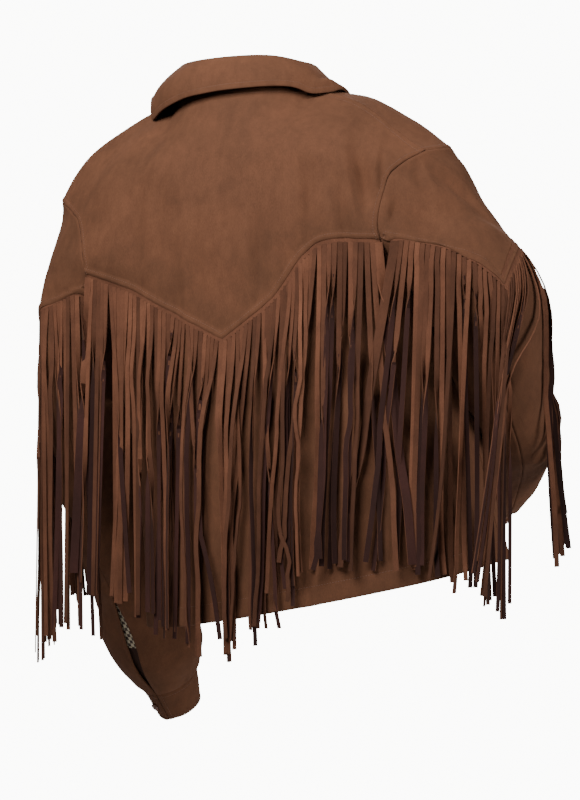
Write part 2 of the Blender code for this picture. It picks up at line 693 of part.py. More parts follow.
def build_sleeve(sleeve, suede, group):
    tip = SLEEVE_YOKE[sleeve.name]["point"]
    upper = sleeve.angle[sleeve.seam_back: sleeve.seam_front + 1]
    upper = with_tip(np.sort(np.append(upper, SLEEVE_EXTRA_COLUMNS[sleeve.name])), tip)
    under = np.concatenate([sleeve.angle[sleeve.seam_front:] - 360, sleeve.angle[: sleeve.seam_back + 1]])
    length = np.linalg.norm(np.diff(sleeve.centres, axis=0), axis=1).sum()
    gap_v, start = SEAM_GAP / length, SET_IN_GAP / length
    for columns in (upper, under):
        columns[0] += SEAM_INSET
        columns[-1] -= SEAM_INSET
    seam = sleeve.yoke_v(upper)
    share = np.linspace(0, 1, SLEEVE_ROWS_CAP + 1)[:, None]
    v_cap = start + (seam - gap_v - start)[None] * share
    share = np.linspace(0, 1, SLEEVE_ROWS_LOW + 1)[:, None]
    v_outer = (seam + gap_v)[None] * (1 - share) + share
    along = np.linspace(seam[-1], seam[0], len(under))
    v_under = along[None] * (1 - share) + share
    v_under = np.concatenate([np.full((1, len(under)), start), v_under])
    sheets = {}
    for piece, angle, v in (("cap", upper, v_cap), ("outer", upper, v_outer), ("under", under, v_under)):
        outer = sleeve.points(angle, v)
        inner = outer - CLOTH * grid_ways(outer, unit(outer - sleeve.points(angle, v, -CLOTH)))
        if sleeve.side > 0 and piece != "cap":
            edge = (0, 1) if piece == "outer" else (-1, -2)
            for sheet in (outer, inner):
                open_slit(sheet, v, *edge, SLIT_SHARE)
        add_wall(f"sleeve_{piece}_{sleeve.name}", outer, inner, suede, group)
        sheets[piece] = outer
    return sheets


def build_facing(sleeve, finish, group):
    """The facing inside the left cuff's slit."""
    middle = sleeve.angle[sleeve.seam_back]
    angle = middle + np.linspace(-FACING_HALF, FACING_HALF, 5)
    v = np.linspace(SLIT_V[0] - 0.01, SLIT_V[1] - 0.05, 7)[:, None] * np.ones(5)[None]
    outer = sleeve.points(angle, v, -CLOTH - FACING_CLEAR)
    inner = sleeve.points(angle, v, -CLOTH - FACING_CLEAR - FACING_THICK)
    return add_wall("slit_facing_left", outer, inner, finish, group)


def build_cuff(sleeve, suede, group):
    """A cuff band past the sleeve's end, open at the back seam."""
    start = sleeve.angle[sleeve.seam_back]
    angle = start + np.linspace(0.9, 359.1, CUFF_ROUND + 1)
    end = sleeve.plain(angle, np.ones((1, len(angle))))[0]
    centre = sleeve.centres[-1]
    axis = sleeve.end_axis()
    rows = []
    for share in np.linspace(0, 1, CUFF_ROWS + 1):
        size = 0.99 - (1 - CUFF_BOTTOM_SIZE) * share
        rows.append(centre + (end - centre) * size + axis * (CUFF_START + CUFF_HEIGHT * share))
    outer = np.stack(rows)
    inward = -unit(outer - (centre + axis * CUFF_HEIGHT / 2))
    add_wall(f"cuff_{sleeve.name}", outer, outer + inward * CLOTH * 1.4, suede, group)
    return outer


# ---------------------------------------------------------------- collar


def stand_height(angle):
    far = smooth_step(np.abs(angle), 60, 175)
    return STAND_HEIGHT_BACK + (STAND_HEIGHT_FRONT - STAND_HEIGHT_BACK) * far


def build_stand(suede, group):
    angle = np.linspace(-COLLAR_END, COLLAR_END, COLLAR_COLUMNS + 1)
    height = stand_height(angle)
    inset = STAND_INSET + STAND_INSET_FRONT * smooth_step(np.abs(angle), 115, 150)
    base = neck_line(angle, out=-inset) - np.array([0, 0, STAND_SEAM])
    centre = np.array([NECK["x"], NECK["y"], 0]) * MM
    inward = unit((centre - base) * np.array([1, 1, 0]))
    rows = []
    for share in np.linspace(0, 1, 4):
        up = np.array([0, 0, 1.0]) * ((height + STAND_SEAM) * share)[:, None]
        rows.append(base + up + inward * (STAND_LEAN * height * share)[:, None])
    outer = np.stack(rows)
    add_wall("collar_stand", outer, outer + inward[None] * CLOTH, suede, group)
    return outer


def short_of(body, spot, clear):
    """How far a point must rise to stand clear over the cloth under it."""
    hit = body.ray_cast(Vector((spot[0], spot[1], 0.15)), Vector((0, 0, -1)))
    return 0.0 if hit[0] is None else max(0.0, hit[0].z + clear - spot[2])


def build_leaf(stand, body, suede, group):
    """The folded-down leaf: from the stand's top outwards and down onto the shoulders."""
    angle = np.linspace(-COLLAR_END, COLLAR_END, COLLAR_COLUMNS + 1)
    top = stand[-1]
    centre = np.array([NECK["x"], NECK["y"], 0]) * MM
    outward = unit((top - centre) * np.array([1, 1, 0]))
    far = np.abs(angle)
    width = np.interp(far, LEAF_WIDTH["angle"], LEAF_WIDTH["width"])
    spread = np.radians(np.interp(far, LEAF_SPREAD["angle"], LEAF_SPREAD["degrees"]))
    rows = []
    for share in np.linspace(0, 1, LEAF_ROWS + 1):
        out = 0.0034 + width * np.sin(spread) * share**1.15
        down = width * np.cos(spread) * share - 0.0022 * math.sin(math.pi * share)
        rows.append(top + outward * out[:, None] - np.array([0, 0, 1.0]) * (down - 0.0030)[:, None])
    under = np.stack(rows)
    for _ in range(3):
        middles = (under[:-1, :-1] + under[1:, :-1] + under[:-1, 1:] + under[1:, 1:]) / 4
        short = np.zeros(under.shape[:2])
        for r in range(1, under.shape[0]):
            for c in range(under.shape[1]):
                short[r, c] = short_of(body, under[r, c], LEAF_CLEAR)
        for r in range(middles.shape[0]):
            for c in range(middles.shape[1]):
                rise = short_of(body, middles[r, c], LEAF_CLEAR)
                for i, k in ((r, c), (r + 1, c), (r, c + 1), (r + 1, c + 1)):
                    short[i, k] = max(short[i, k], rise * (i > 0))
        under[..., 2] += short
    lift = unit(outward + np.array([0, 0, 0.8]))
    add_wall("collar_leaf", under + lift[None] * CLOTH, under, suede, group)
    return under


# ---------------------------------------------------------------- fringe


class HangingStrands:
    """Chains that start straight out from their roots and fall to rest on the cloth."""

    def __init__(self, roots, ways, widths, body):
        self.body = body
        self.widths = widths
        self.link = STRAND_LENGTH / CHAIN_LINKS
        start = unit(ways + np.array([0, 0, -0.35]))
        steps = np.arange(CHAIN_LINKS + 1)[None, :, None] * self.link
        self.p = roots[:, None] + steps * start[:, None]
        self.before = self.p.copy()
        self.roots = roots

    def keep_links(self, passes):
        for _ in range(passes):
            for odd in (0, 1):
                upper, lower = self.p[:, odd:-1:2], self.p[:, odd + 1::2]
                n = min(upper.shape[1], lower.shape[1])
                upper, lower = upper[:, :n], lower[:, :n]
                gap = lower - upper
                size = np.linalg.norm(gap, axis=2, keepdims=True)
                push = gap * (size - self.link) / np.maximum(size, 1e-9)
                share = np.full((1, n, 1), 0.5)
                if odd == 0:
                    share[0, 0, 0] = 0.0
                self.p[:, odd:odd + 2 * n:2] += push * share
                self.p[:, odd + 1:odd + 1 + 2 * n:2] -= push * (1 - share)
            self.p[:, 0] = self.roots

    def keep_off_cloth(self):
        flat = self.p[:, 1:].reshape(-1, 3)
        moved = flat.copy()
        for k, spot in enumerate(flat):
            hit, normal, _, distance = self.body.find_nearest(Vector(spot), STRAND_LOOK)
            if hit is None:
                continue
            side = (Vector(spot) - hit).dot(normal)
            if side < STRAND_CLEAR and (side < 0 or distance < STRAND_CLEAR):
                moved[k] = np.array(hit + normal * STRAND_CLEAR)
        self.shift(1, (moved - flat).reshape(self.p[:, 1:].shape))

    def shift(self, first, change):
        """Moves points without giving them speed."""
        self.p[:, first:] += change
        self.before[:, first:] += change

    def keep_apart(self):
        room = (self.widths[:, None] + self.widths[None]) / 2 + STRAND_APART
        change = np.zeros((len(self.p), CHAIN_LINKS - 1, 3))
        for k in range(2, CHAIN_LINKS + 1):
            spot = self.p[:, k]
            gap = spot[:, None] - spot[None]
            gap[..., 2] *= 0.3
            size = np.linalg.norm(gap, axis=2)
            np.fill_diagonal(size, 9.0)
            push = np.where(size < room, (room - size) / 2, 0.0) / np.maximum(size, 1e-6)
            move = (gap * push[..., None]).sum(1)
            long = np.linalg.norm(move, axis=1, keepdims=True)
            change[:, k - 2] = move * np.minimum(1.0, 0.0012 / np.maximum(long, 1e-9))
        self.shift(2, change)

    def settle(self):
        for step in range(CHAIN_STEPS):
            speed = (self.p - self.before) * CHAIN_DAMPING
            self.before = self.p.copy()
            self.p += speed + np.array([0, 0, -9.81 * CHAIN_TIME**2])
            self.p[:, 0] = self.roots
            last = step > CHAIN_STEPS - 12
            self.keep_links(CHAIN_LAST_PASSES if last else CHAIN_PASSES)
            self.keep_apart()
            self.keep_off_cloth()
        return self.p


def clear_solid(chain, body):
    """Moves the kept links out where the straight runs between them would come too near the cloth."""
    spots = [chain[0]] + [chain[cut].copy() for cut in STRAND_CUTS]
    for _ in range(4):
        for k in range(len(spots) - 1):
            worst, way, at = 0.0, None, 1.0
            for share in (0.2, 0.35, 0.5, 0.65, 0.8, 1.0):
                spot = Vector(spots[k] * (1 - share) + spots[k + 1] * share)
                hit, normal, _, _ = body.find_nearest(spot, STRAND_LOOK)
                if hit is None:
                    continue
                need = min(STRAND_OFF, STRAND_OFF * (0.5 + share) if k == 0 else STRAND_OFF)
                short = need - (spot - hit).dot(normal)
                if short > worst:
                    worst, way, at = short, np.array(normal), share
            if way is not None:
                if k == 0:
                    spots[1] = spots[1] + way * worst / max(at, 0.35)
                else:
                    spots[k] = spots[k] + way * worst
                    spots[k + 1] = spots[k + 1] + way * worst
    return spots


class FringeSeam:
    """The line that a fringe hangs from: points on the cloth under the seam, with ways out and down."""

    def __init__(self, points_at, first, last):
        self.points_at = points_at
        fine = np.linspace(first, last, 500)
        line = points_at(fine, STRIP_DROP, 0.0)
        run = np.concatenate([[0], np.cumsum(np.linalg.norm(np.diff(line, axis=0), axis=1))])
        self.fine, self.run = fine, run

    def count(self, pitch):
        return int(self.run[-1] // pitch)

    def params(self, distance):
        return np.interp(distance, self.run, self.fine)


class Fringe:
    """A narrow strip in a yoke seam, with strands cut from its lower edge."""

    def __init__(self, name, seam):
        self.name, self.seam = name, seam
        count = seam.count(STRAND_PITCH)
        pitch = seam.run[-1] / count
        self.starts = (np.arange(count) + 0.5) * pitch
        low = STRIP_DROP + STRIP_HEIGHT
        self.roots = seam.points_at(seam.params(self.starts), low, STRIP_LIFT)
        ahead = seam.points_at(seam.params(np.minimum(self.starts + 0.004, seam.run[-1])), low, STRIP_LIFT)
        behind = seam.points_at(seam.params(np.maximum(self.starts - 0.004, 0)), low, STRIP_LIFT)
        self.along = unit((ahead - behind) * np.array([1, 1, 0]))
        level = np.linalg.norm((ahead - behind)[:, :2], axis=1) / np.linalg.norm(ahead - behind, axis=1)
        outer = seam.points_at(seam.params(self.starts), low, STRIP_LIFT + 0.01)
        way = (outer - self.roots) * np.array([1, 1, 0])
        self.ways = unit(way - (way * self.along).sum(1, keepdims=True) * self.along)
        self.widths = np.minimum(STRAND_WIDTH, STRAND_SHARE * pitch * level)

    def strip(self):
        """Points and faces of the strip, four points at each strand's edges."""
        seam = self.seam
        half = STRAND_WIDTH / 2
        edges = np.stack([self.starts - half, self.starts + half], 1).reshape(-1)
        rings = []
        for drop, lift in ((STRIP_DROP, STRIP_LIFT), (STRIP_DROP, STRIP_LIFT + STRAND_THICK),
                           (STRIP_DROP + STRIP_HEIGHT, STRIP_LIFT + STRAND_THICK),
                           (STRIP_DROP + STRIP_HEIGHT, STRIP_LIFT)):
            rings.append(seam.points_at(seam.params(edges), drop, lift))
        points = np.stack(rings, 1).reshape(-1, 3).tolist()
        faces = [(0, 1, 2, 3)]
        for k in range(len(edges) - 1):
            a, b = 4 * k, 4 * (k + 1)
            faces += [(a, b, b + 1, a + 1), (a + 1, b + 1, b + 2, a + 2), (a + 3, b + 3, b, a)]
            if k % 2:
                faces.append((a + 2, b + 2, b + 3, a + 3))
        last = 4 * (len(edges) - 1)
        faces.append((last, last + 3, last + 2, last + 1))
        return points, faces

    def strand(self, i, chain, body, spare=0.0):
        """Corner points of one solid strand below its root, spare larger all round."""
        spots = clear_solid(chain, body)
        rings = []
        for k in range(1, len(spots)):
            run = unit(spots[min(k + 1, len(spots) - 1)] - spots[k - 1])
            across = unit(self.along[i] - np.dot(self.along[i], run) * run)
            thick = np.cross(across, run)
            thick = thick if np.dot(thick, self.ways[i]) > 0 else -thick
            half, thick = across * (self.widths[i] / 2 + spare), thick * (STRAND_THICK / 2 + spare)
            rings.append([spots[k] - half - thick, spots[k] - half + thick, spots[k] + half + thick,
                          spots[k] + half - thick])
        return rings

    def root_ring(self, i, points):
        """The root's corners on the strip, in the strand's order."""
        left, right = 8 * i, 8 * i + 4
        order = [left + 3, left + 2, right + 2, right + 3]
        return order, [np.array(points[k]) for k in order]

    def build(self, chains, body, taken, finish, group):
        """Makes the strip and each strand that stands free of everything in taken."""
        points, faces = self.strip()
        for i, chain in enumerate(chains):
            order, corners = self.root_ring(i, points)
            wide = self.strand(i, chain, body, spare=STRAND_SPARE)
            if taken.touches([corners] + wide):
                faces.append(tuple(order))
                continue
            rings = self.strand(i, chain, body)
            taken.add([corners] + wide)
            corner = order
            for ring in rings:
                base = len(points)
                points += ring
                for side in range(4):
                    n = (side + 1) % 4
                    faces.append((corner[side], corner[n], base + n, base + side))
                corner = [base, base + 1, base + 2, base + 3]
            faces.append(tuple(corner))
        return add_object(self.name, points, faces, finish, group)


class Taken:
    """The room that cloth, buttons and earlier strands take."""

    def __init__(self, objects):
        graph = bpy.context.evaluated_depsgraph_get()
        points, faces = [], []
        for obj in objects:
            ready = obj.evaluated_get(graph)
            mesh = ready.to_mesh()
            base = len(points)
            points += [obj.matrix_world @ v.co for v in mesh.vertices]
            faces += [tuple(base + k for k in p.vertices) for p in mesh.polygons]
            ready.to_mesh_clear()
        self.cloth = BVHTree.FromPolygons(points, faces)
        self.points, self.faces = [], []
        self.strands = None

    @staticmethod
    def mesh_of(rings, base=0):
        points = [Vector(p) for ring in rings for p in ring]
        faces = []
        for r in range(len(rings) - 1):
            for side in range(4):
                n = (side + 1) % 4
                a, b = base + 4 * r, base + 4 * (r + 1)
                faces.append((a + side, a + n, b + n, b + side))
        return points, faces

    def touches(self, rings):
        tree = BVHTree.FromPolygons(*self.mesh_of(rings))
        if tree.overlap(self.cloth):
            return True
        return bool(self.strands and tree.overlap(self.strands))

    def add(self, rings):
        points, faces = self.mesh_of(rings, len(self.points))
        self.points += points
        self.faces += faces
        self.strands = BVHTree.FromPolygons(self.points, self.faces)


def build_fringes(fringes, body, finish, group):
    """Lets the strands of all fringes fall together, then makes each fringe."""
    strands = HangingStrands(np.concatenate([f.roots for f in fringes]),
                             np.concatenate([f.ways for f in fringes]),
                             np.concatenate([f.widths for f in fringes]), body)
    chains = strands.settle()
    bpy.context.view_layer.update()
    taken = Taken(list(group.objects))
    first = 0
    for fringe in fringes:
        fringe.build(chains[first: first + len(fringe.roots)], body, taken, finish, group)
        first += len(fringe.roots)


def torso_seam(torso, first, last):
    """The fringe line of a torso yoke, between two columns."""

    def points_at(a, drop, lift):
        seam = torso.seam_t(a)
        step = torso.plain(a, (seam + LINE_STEP)[None]) - torso.plain(a, (seam - LINE_STEP)[None])
        fall = drop * 2 * LINE_STEP / np.linalg.norm(step[0], axis=1)
        t = (seam - fall)[None]
        return torso.points(a, t, np.full(t.shape, lift))[0]

    return FringeSeam(points_at, first, last)


def sleeve_seam(sleeve):
    """The fringe line of a sleeve yoke, from the back seam to the front seam."""
    length = np.linalg.norm(np.diff(sleeve.centres, axis=0), axis=1).sum()

    def points_at(angle, drop, lift):
        v = (sleeve.yoke_v(angle) + drop / length)[None]
        return sleeve.points(angle, v, np.full(v.shape, lift))[0]

    return FringeSeam(points_at, sleeve.angle[sleeve.seam_back] + 0.8, SLEEVE_FRINGE_END)


# ---------------------------------------------------------------- closing


def build_placket(panels, suede, group):
    """The band down the right front's edge, over its panel and yoke."""
    a = np.linspace(BAND_LAP - 0.0012, -BAND_INNER, 4)
    torso = panels.torso
    t_low = panels.t_low[:, :1] * np.ones(len(a))[None]
    t_yoke = panels.t_yoke[1:, :1] * np.ones(len(a))[None]
    t = np.concatenate([t_low, t_yoke])
    t[0] += 0.002
    t[-1] -= 0.012
    lift = np.full(t.shape, BAND_LIFT)
    lift[-1] += 0.0024
    lift[-2] += 0.0010
    outer = torso.points(a, t, lift + PLACKET_THICK)
    add_wall("front_placket", outer, torso.points(a, t, lift), suede, group)
    return outer, torso.points(a, t, lift + PLACKET_THICK + FRONT_BUTTON[1])


def add_button(name, place, way, size, finish, group):
    """A turned button with a raised rim, its back face at place, facing way. size: radius, thickness
    and steps round it."""
    r, h, steps = size
    profile = [(0.0, h * 0.72), (r * 0.62, h * 0.72), (r * 0.78, h), (r * 0.95, h * 0.8), (r, h * 0.35),
               (r * 0.9, 0.0), (0.0, 0.0)]
    mesh = bpy.data.meshes.new(name)
    mesh.from_pydata([(x, 0, z) for x, z in profile], [(i, i + 1) for i in range(len(profile) - 1)], [])
    mesh.materials.append(finish)
    obj = bpy.data.objects.new(name, mesh)
    group.objects.link(obj)
    turn = obj.modifiers.new("turned", "SCREW")
    turn.axis = "Z"
    turn.steps = turn.render_steps = steps
    turn.use_merge_vertices = True
    turn.merge_threshold = 0.00002
    turn.use_smooth_shade = True
    obj.rotation_mode = "QUATERNION"
    obj.rotation_quaternion = Vector(way).to_track_quat("Z", "Y")
    obj.location = Vector(place)
    return obj


def seat_button(name, place, way, size, cloth, finish, group):
    """Adds a button that stands just clear of the cloth all round its rim."""
    side = unit(np.cross(way, np.array([0, 0, 1.0])))
    up = np.cross(side, way)
    rise = 0.0
    for turn in np.linspace(0, 2 * math.pi, 16, endpoint=False):
        rim = place + size[0] * (math.cos(turn) * side + math.sin(turn) * up)
        hit = cloth.ray_cast(Vector(rim + way * 0.01), Vector(-way), 0.02)
        if hit[0] is not None:
            rise = max(rise, 0.01 - hit[3])
    add_button(name, place + way * (rise + BUTTON_OFF), way, size, finish, group)


def build_buttons(torso, band, finish, group):
    a = np.array([0.001])
    for i, t in enumerate(np.linspace(0.06, 0.955, BUTTONS)):
        place = torso.points(a, np.array([[t]]), np.array([[BAND_LIFT + PLACKET_THICK]]))[0, 0]
        way = torso.normals(a, np.array([[t]]))[0, 0]
        seat_button(f"front_button_{i + 1}", place, way, FRONT_BUTTON, band, finish, group)


def build_cuff_button(name, cuff, finish, group):
    """A small button beside the cuff's opening, on its outer side."""
    place = (cuff[1, 1] + cuff[1, 2]) / 2
    way = unit(np.cross(cuff[1, 2] - cuff[1, 1], cuff[2, 1] - cuff[0, 1]))
    way = way if np.dot(way, place - cuff[1].mean(0)) > 0 else -way
    seat_button(f"cuff_button_{name}", place, way, CUFF_BUTTON, surface_tree([(cuff, False)]), finish, group)


def main():
    clear_scene()
    group = bpy.data.collections.new("fringed_suede_jacket")
    bpy.context.scene.collection.children.link(group)
    suede = material("suede_face", SUEDE, 0.92)
    suede_back = material("suede_fringe", SUEDE_BACK, 0.94)
    brown = material("button_brown", BUTTON_BROWN, 0.45)
    facing = material("checked_facing", FACING, 0.9)
    back, front = Torso(False), Torso(True)
    sleeves = {side: Sleeve(side, back, front) for side in (-1, 1)}
    a_back = edge_in(np.linspace(-1, 1, COLUMNS_BACK + 1))
    back_panels = Panels(back, front, a_back)
    back_panels.share_armhole(0, sleeves[-1].rim_back)
    back_panels.share_armhole(-1, sleeves[1].rim_back)
    body = [(sheet, True) for sheet in
            back_panels.build(("back_panel", "back_yoke"), np.zeros(len(a_back)), suede, group)]
    fronts = {}
    for side, name in ((-1, "right"), (1, "left")):
        a = front_columns(side)
        fronts[side] = Panels(front, back, a)
        fronts[side].share_armhole(-1, sleeves[side].rim_front)
        names = (f"front_panel_{name}", f"front_yoke_{name}")
        body += [(sheet, side < 0) for sheet in
                 fronts[side].build(names, under_lap(a, side), suede, group)]
    arms = []
    for side, sleeve in sleeves.items():
        arms += [(sheet, side < 0) for sheet in build_sleeve(sleeve, suede, group).values()]
        build_cuff_button(sleeve.name, build_cuff(sleeve, suede, group), brown, group)
    build_facing(sleeves[1], facing, group)
    stand = build_stand(suede, group)
    build_leaf(stand, surface_tree(body), suede, group)
    band, over_band = build_placket(fronts[-1], suede, group)
    build_buttons(front, surface_tree([(band, True)]), brown, group)
    all_cloth = surface_tree(body + arms + [(over_band, True)])
    fringes = [Fringe("fringe_back", torso_seam(back, -0.985, 0.985)),
               Fringe("fringe_front_right", torso_seam(front, -0.97, -0.085)),
               Fringe("fringe_front_left", torso_seam(front, 0.085, 0.97))]
    fringes += [Fringe(f"fringe_sleeve_{s.name}", sleeve_seam(s)) for s in sleeves.values()]
    build_fringes(fringes, all_cloth, suede_back, group)


main()
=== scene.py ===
"""Looks of a fringed suede western jacket, filled out as it is worn, with no wearer inside it.

Metres, +Z up. The front faces -Y and the wearer's left is +X. The origin is between the neck's two
sides. Each cloth piece is a fine wall worked out from the same named sections as its solid, with
the soft folds, seam ridges and topstitching that the solid leaves out. The fringe is cut at its true
pitch and hung strand by strand.
"""

import logging
import math
from collections.abc import Callable, Sequence
from dataclasses import dataclass, field
from enum import Enum

import bmesh
import bpy
import numpy as np
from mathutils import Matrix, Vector
from mathutils.bvhtree import BVHTree


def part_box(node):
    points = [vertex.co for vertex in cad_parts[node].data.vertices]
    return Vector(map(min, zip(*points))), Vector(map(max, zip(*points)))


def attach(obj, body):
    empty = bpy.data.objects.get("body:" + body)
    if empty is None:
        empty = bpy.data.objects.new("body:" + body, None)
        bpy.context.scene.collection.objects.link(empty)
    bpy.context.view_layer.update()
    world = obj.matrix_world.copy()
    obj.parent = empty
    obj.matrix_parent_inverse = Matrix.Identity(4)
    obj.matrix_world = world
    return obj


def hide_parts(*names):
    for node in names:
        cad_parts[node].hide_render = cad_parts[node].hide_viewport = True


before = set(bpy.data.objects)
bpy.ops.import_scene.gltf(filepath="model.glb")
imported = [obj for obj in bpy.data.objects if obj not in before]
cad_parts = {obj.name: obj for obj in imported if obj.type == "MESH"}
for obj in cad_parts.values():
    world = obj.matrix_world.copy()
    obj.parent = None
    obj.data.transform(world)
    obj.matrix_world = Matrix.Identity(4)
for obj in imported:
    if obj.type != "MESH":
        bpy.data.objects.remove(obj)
LOG = logging.getLogger("fringed_jacket")
MM = 0.001
UP = np.array([0, 0, 1.0])
LEVEL = np.array([1, 1, 0])  # leaves the level part of a vector
Points = np.ndarray  # grids of points, (..., 3), in metres
Socket = bpy.types.NodeSocket
Links = dict[str | int, "Socket | float | tuple"]


# ---------------------------------------------------------------- curves and sheets


def smooth_through(
    x: Sequence[float], y: Points, at: Points, slopes: dict[int, Points] | None = None
) -> Points:
    """Reads a smooth cubic through given points.

    Args:
        x: rising places of the points.
        y: values there, one or several for each place.
        at: the places to read.
        slopes: slopes that are given, by the point's index.

    Returns:
        The values at the places.
    """
    x, y, at = np.asarray(x, float), np.asarray(y, float), np.asarray(at, float)
    flat = y.reshape(len(x), -1)
    step = np.diff(x)[:, None]
    rise = np.diff(flat, axis=0) / step
    slope = np.zeros_like(flat)
    slope[1:-1] = (flat[2:] - flat[:-2]) / (x[2:] - x[:-2])[:, None]
    slope[0], slope[-1] = rise[0], rise[-1]
    for index, value in (slopes or {}).items():
        slope[index] = value
    k = np.clip(np.searchsorted(x, at, side="right") - 1, 0, len(x) - 2).reshape(-1)
    h = x[k + 1] - x[k]
    s = ((at.reshape(-1) - x[k]) / h)[:, None]
    h = h[:, None]
    value = (
        (2 * s**3 - 3 * s**2 + 1) * flat[k]
        + (s**3 - 2 * s**2 + s) * h * slope[k]
        + (3 * s**2 - 2 * s**3) * flat[k + 1]
        + (s**3 - s**2) * h * slope[k + 1]
    )
    return value.reshape(at.shape + y.shape[1:])


def loft(
    knots: Points, curves: Points, t: Points, slopes: dict[int, Points] | None = None
) -> Points:
    """Reads a smooth surface through curves.

    Args:
        knots: the curves' places along the surface.
        curves: the curves' points, (knots, columns, 3).
        t: places to read, (rows, columns).
        slopes: slopes that are given, by the curve's index, (columns, 3) each.

    Returns:
        Points, (rows, columns, 3).
    """
    out = np.empty(t.shape + (3,))
    for c in range(t.shape[1]):
        by_hand = {k: value[c] for k, value in (slopes or {}).items()}
        out[:, c] = smooth_through(knots, curves[:, c], t[:, c], by_hand)
    return out


def smooth_step(x: Points, low: float, high: float) -> Points:
    """A smooth rise from 0 at low to 1 at high."""
    s = np.clip((x - low) / (high - low), 0.0, 1.0)
    return s * s * (3 - 2 * s)


def unit(v: Points) -> Points:
    """The vectors at length 1."""
    return v / np.maximum(np.linalg.norm(v, axis=-1, keepdims=True), 1e-12)


def run_along(line: Points) -> Points:
    """Distance of each point of a line from its first point, along the line."""
    return np.concatenate([[0], np.cumsum(np.linalg.norm(np.diff(line, axis=0), axis=1))])


def read_line(at: Points | float, x: Points, line: Points) -> Points:
    """Points of a line, which is given at rising x, read at other places."""
    return np.stack([np.interp(at, x, line[:, k]) for k in range(3)], -1)


def through_tip(x: Sequence[float], y: Sequence[float], tip: int, at: Points) -> Points:
    """Reads a smooth curve that has a sharp point at one of its places.

    Args:
        x: rising places.
        y: the curve's values there.
        tip: the index of the sharp point.
        at: the places to read, held between the first and the last.

    Returns:
        The values.
    """
    at = np.clip(at, x[0], x[-1])
    before = smooth_through(x[: tip + 1], y[: tip + 1], np.minimum(at, x[tip]))
    after = smooth_through(x[tip:], y[tip:], np.maximum(at, x[tip]))
    return np.where(at < x[tip], before, after)


def sheet_ways(sheet: Points, like: Points) -> Points:
    """Ways out of a sheet from its own grid.

    Args:
        sheet: the grid, (rows, columns, 3).
        like: rough ways out, for the side.

    Returns:
        Unit vectors, one at each point.
    """
    across, up = np.gradient(sheet, axis=1), np.gradient(sheet, axis=0)
    own = unit(np.cross(across, up))
    return np.where((own * like).sum(-1, keepdims=True) < 0, -own, own)


def run_from(sheet: Points, edge: "Edge") -> Points:
    """Distance of each point from one edge, squarely off the edge.

    Args:
        sheet: the grid.
        edge: the edge to measure from.

    Returns:
        Metres, (rows, columns).
    """
    axis = 0 if edge in (Edge.BOTTOM, Edge.TOP) else 1
    flip = edge in (Edge.TOP, Edge.RIGHT)
    grid = np.flip(sheet, axis) if flip else sheet
    lines = grid if axis == 0 else np.swapaxes(grid, 0, 1)
    steps = np.linalg.norm(np.diff(lines, axis=0), axis=2)
    run = np.cumsum(np.pad(steps, ((1, 0), (0, 0))), axis=0)
    near = min(len(lines) - 1, 6)
    way, line = unit(lines[near] - lines[0]), unit(np.gradient(lines[0], axis=0))
    square = np.linalg.norm(np.cross(way, line), axis=1)
    run = run * np.maximum(square, 0.25)
    run = run if axis == 0 else run.T
    return np.flip(run, axis) if flip else run


CLOSE_LINES = np.array([0.0, 0.12, 0.3, 0.55, 0.8, 0.92, 1.0, 1.1, 1.25, 1.5, 1.9])
CLOSE_REACH = 1.95  # how far the close lines are kept, in widths of the end


def spread(count: int, length: float, start: float = 0.0, end: float = 0.0) -> Points:
    """Shares from 0 to 1 with close lines near the ends that carry a seam.

    Args:
        count: lines between the ends' close ones.
        length: the run's length in metres.
        start: width of the first end's close lines, or 0.
        end: the same at the last end.

    Returns:
        Rising shares.
    """
    shares = [np.linspace(0, 1, count)]
    if start:
        shares.append(CLOSE_LINES * start / length)
    if end:
        shares.append(1 - CLOSE_LINES * end / length)
    made = np.unique(np.round(np.concatenate(shares), 6))
    keep = [0.0]
    low, high = CLOSE_REACH * start / length, 1 - CLOSE_REACH * end / length
    for share in made[1:]:
        least = 0.35 / count if low < share < high else 1e-5
        if share - keep[-1] > least:
            keep.append(share)
    keep[-1] = 1.0
    return np.array(keep)


class Edge(Enum):
    """The edges of a sheet's grid."""

    BOTTOM = "first row"
    TOP = "last row"
    LEFT = "first column"
    RIGHT = "last column"


@dataclass(frozen=True)
class SeamRidge:
    """The doubled cloth beside a seam or edge, held down by a line of stitches."""

    edge: Edge
    width: float = 6.2 * MM
    rise: float = 0.75 * MM
    groove: float = 0.35 * MM
    roll: float = 0.55 * MM
    stitched: bool = True

    def depth(self, sheet: Points) -> Points:
        """How far the seam lifts each point of the sheet, in metres."""
        d = run_from(sheet, self.edge)
        ridge = self.rise * (1 - smooth_step(d, self.width - 0.6 * MM, self.width + 1.4 * MM))
        groove = self.groove * np.exp(-(((d - self.width) / (0.8 * MM)) ** 2)) * self.stitched
        return ridge - groove - self.roll * np.exp(-((d / (1.0 * MM)) ** 2))


@dataclass(frozen=True)
class Ripple:
    """Slight unevenness of soft cloth: waves of many directions and a fixed seed."""

    size: float
    depth: float
    seed: int

    def at(self, p: Points) -> Points:
        """The waves' height at points, in metres."""
        rng = np.random.default_rng(self.seed)
        total = np.zeros(p.shape[:-1])
        for _ in range(9):
            way = unit(rng.normal(size=3))
            pitch = self.size * rng.uniform(0.6, 1.7)
            total += np.sin(p @ way * (2 * np.pi / pitch) + rng.uniform(0, 6.28))
        return total * self.depth / 3


# ---------------------------------------------------------------- finishes


def colour(code: str) -> tuple[float, float, float, float]:
    """A hex sRGB colour as linear RGBA."""
    parts = [int(code[k : k + 2], 16) / 255 for k in (0, 2, 4)]
    linear = [c / 12.92 if c <= 0.04045 else ((c + 0.055) / 1.055) ** 2.4 for c in parts]
    return (linear[0], linear[1], linear[2], 1.0)


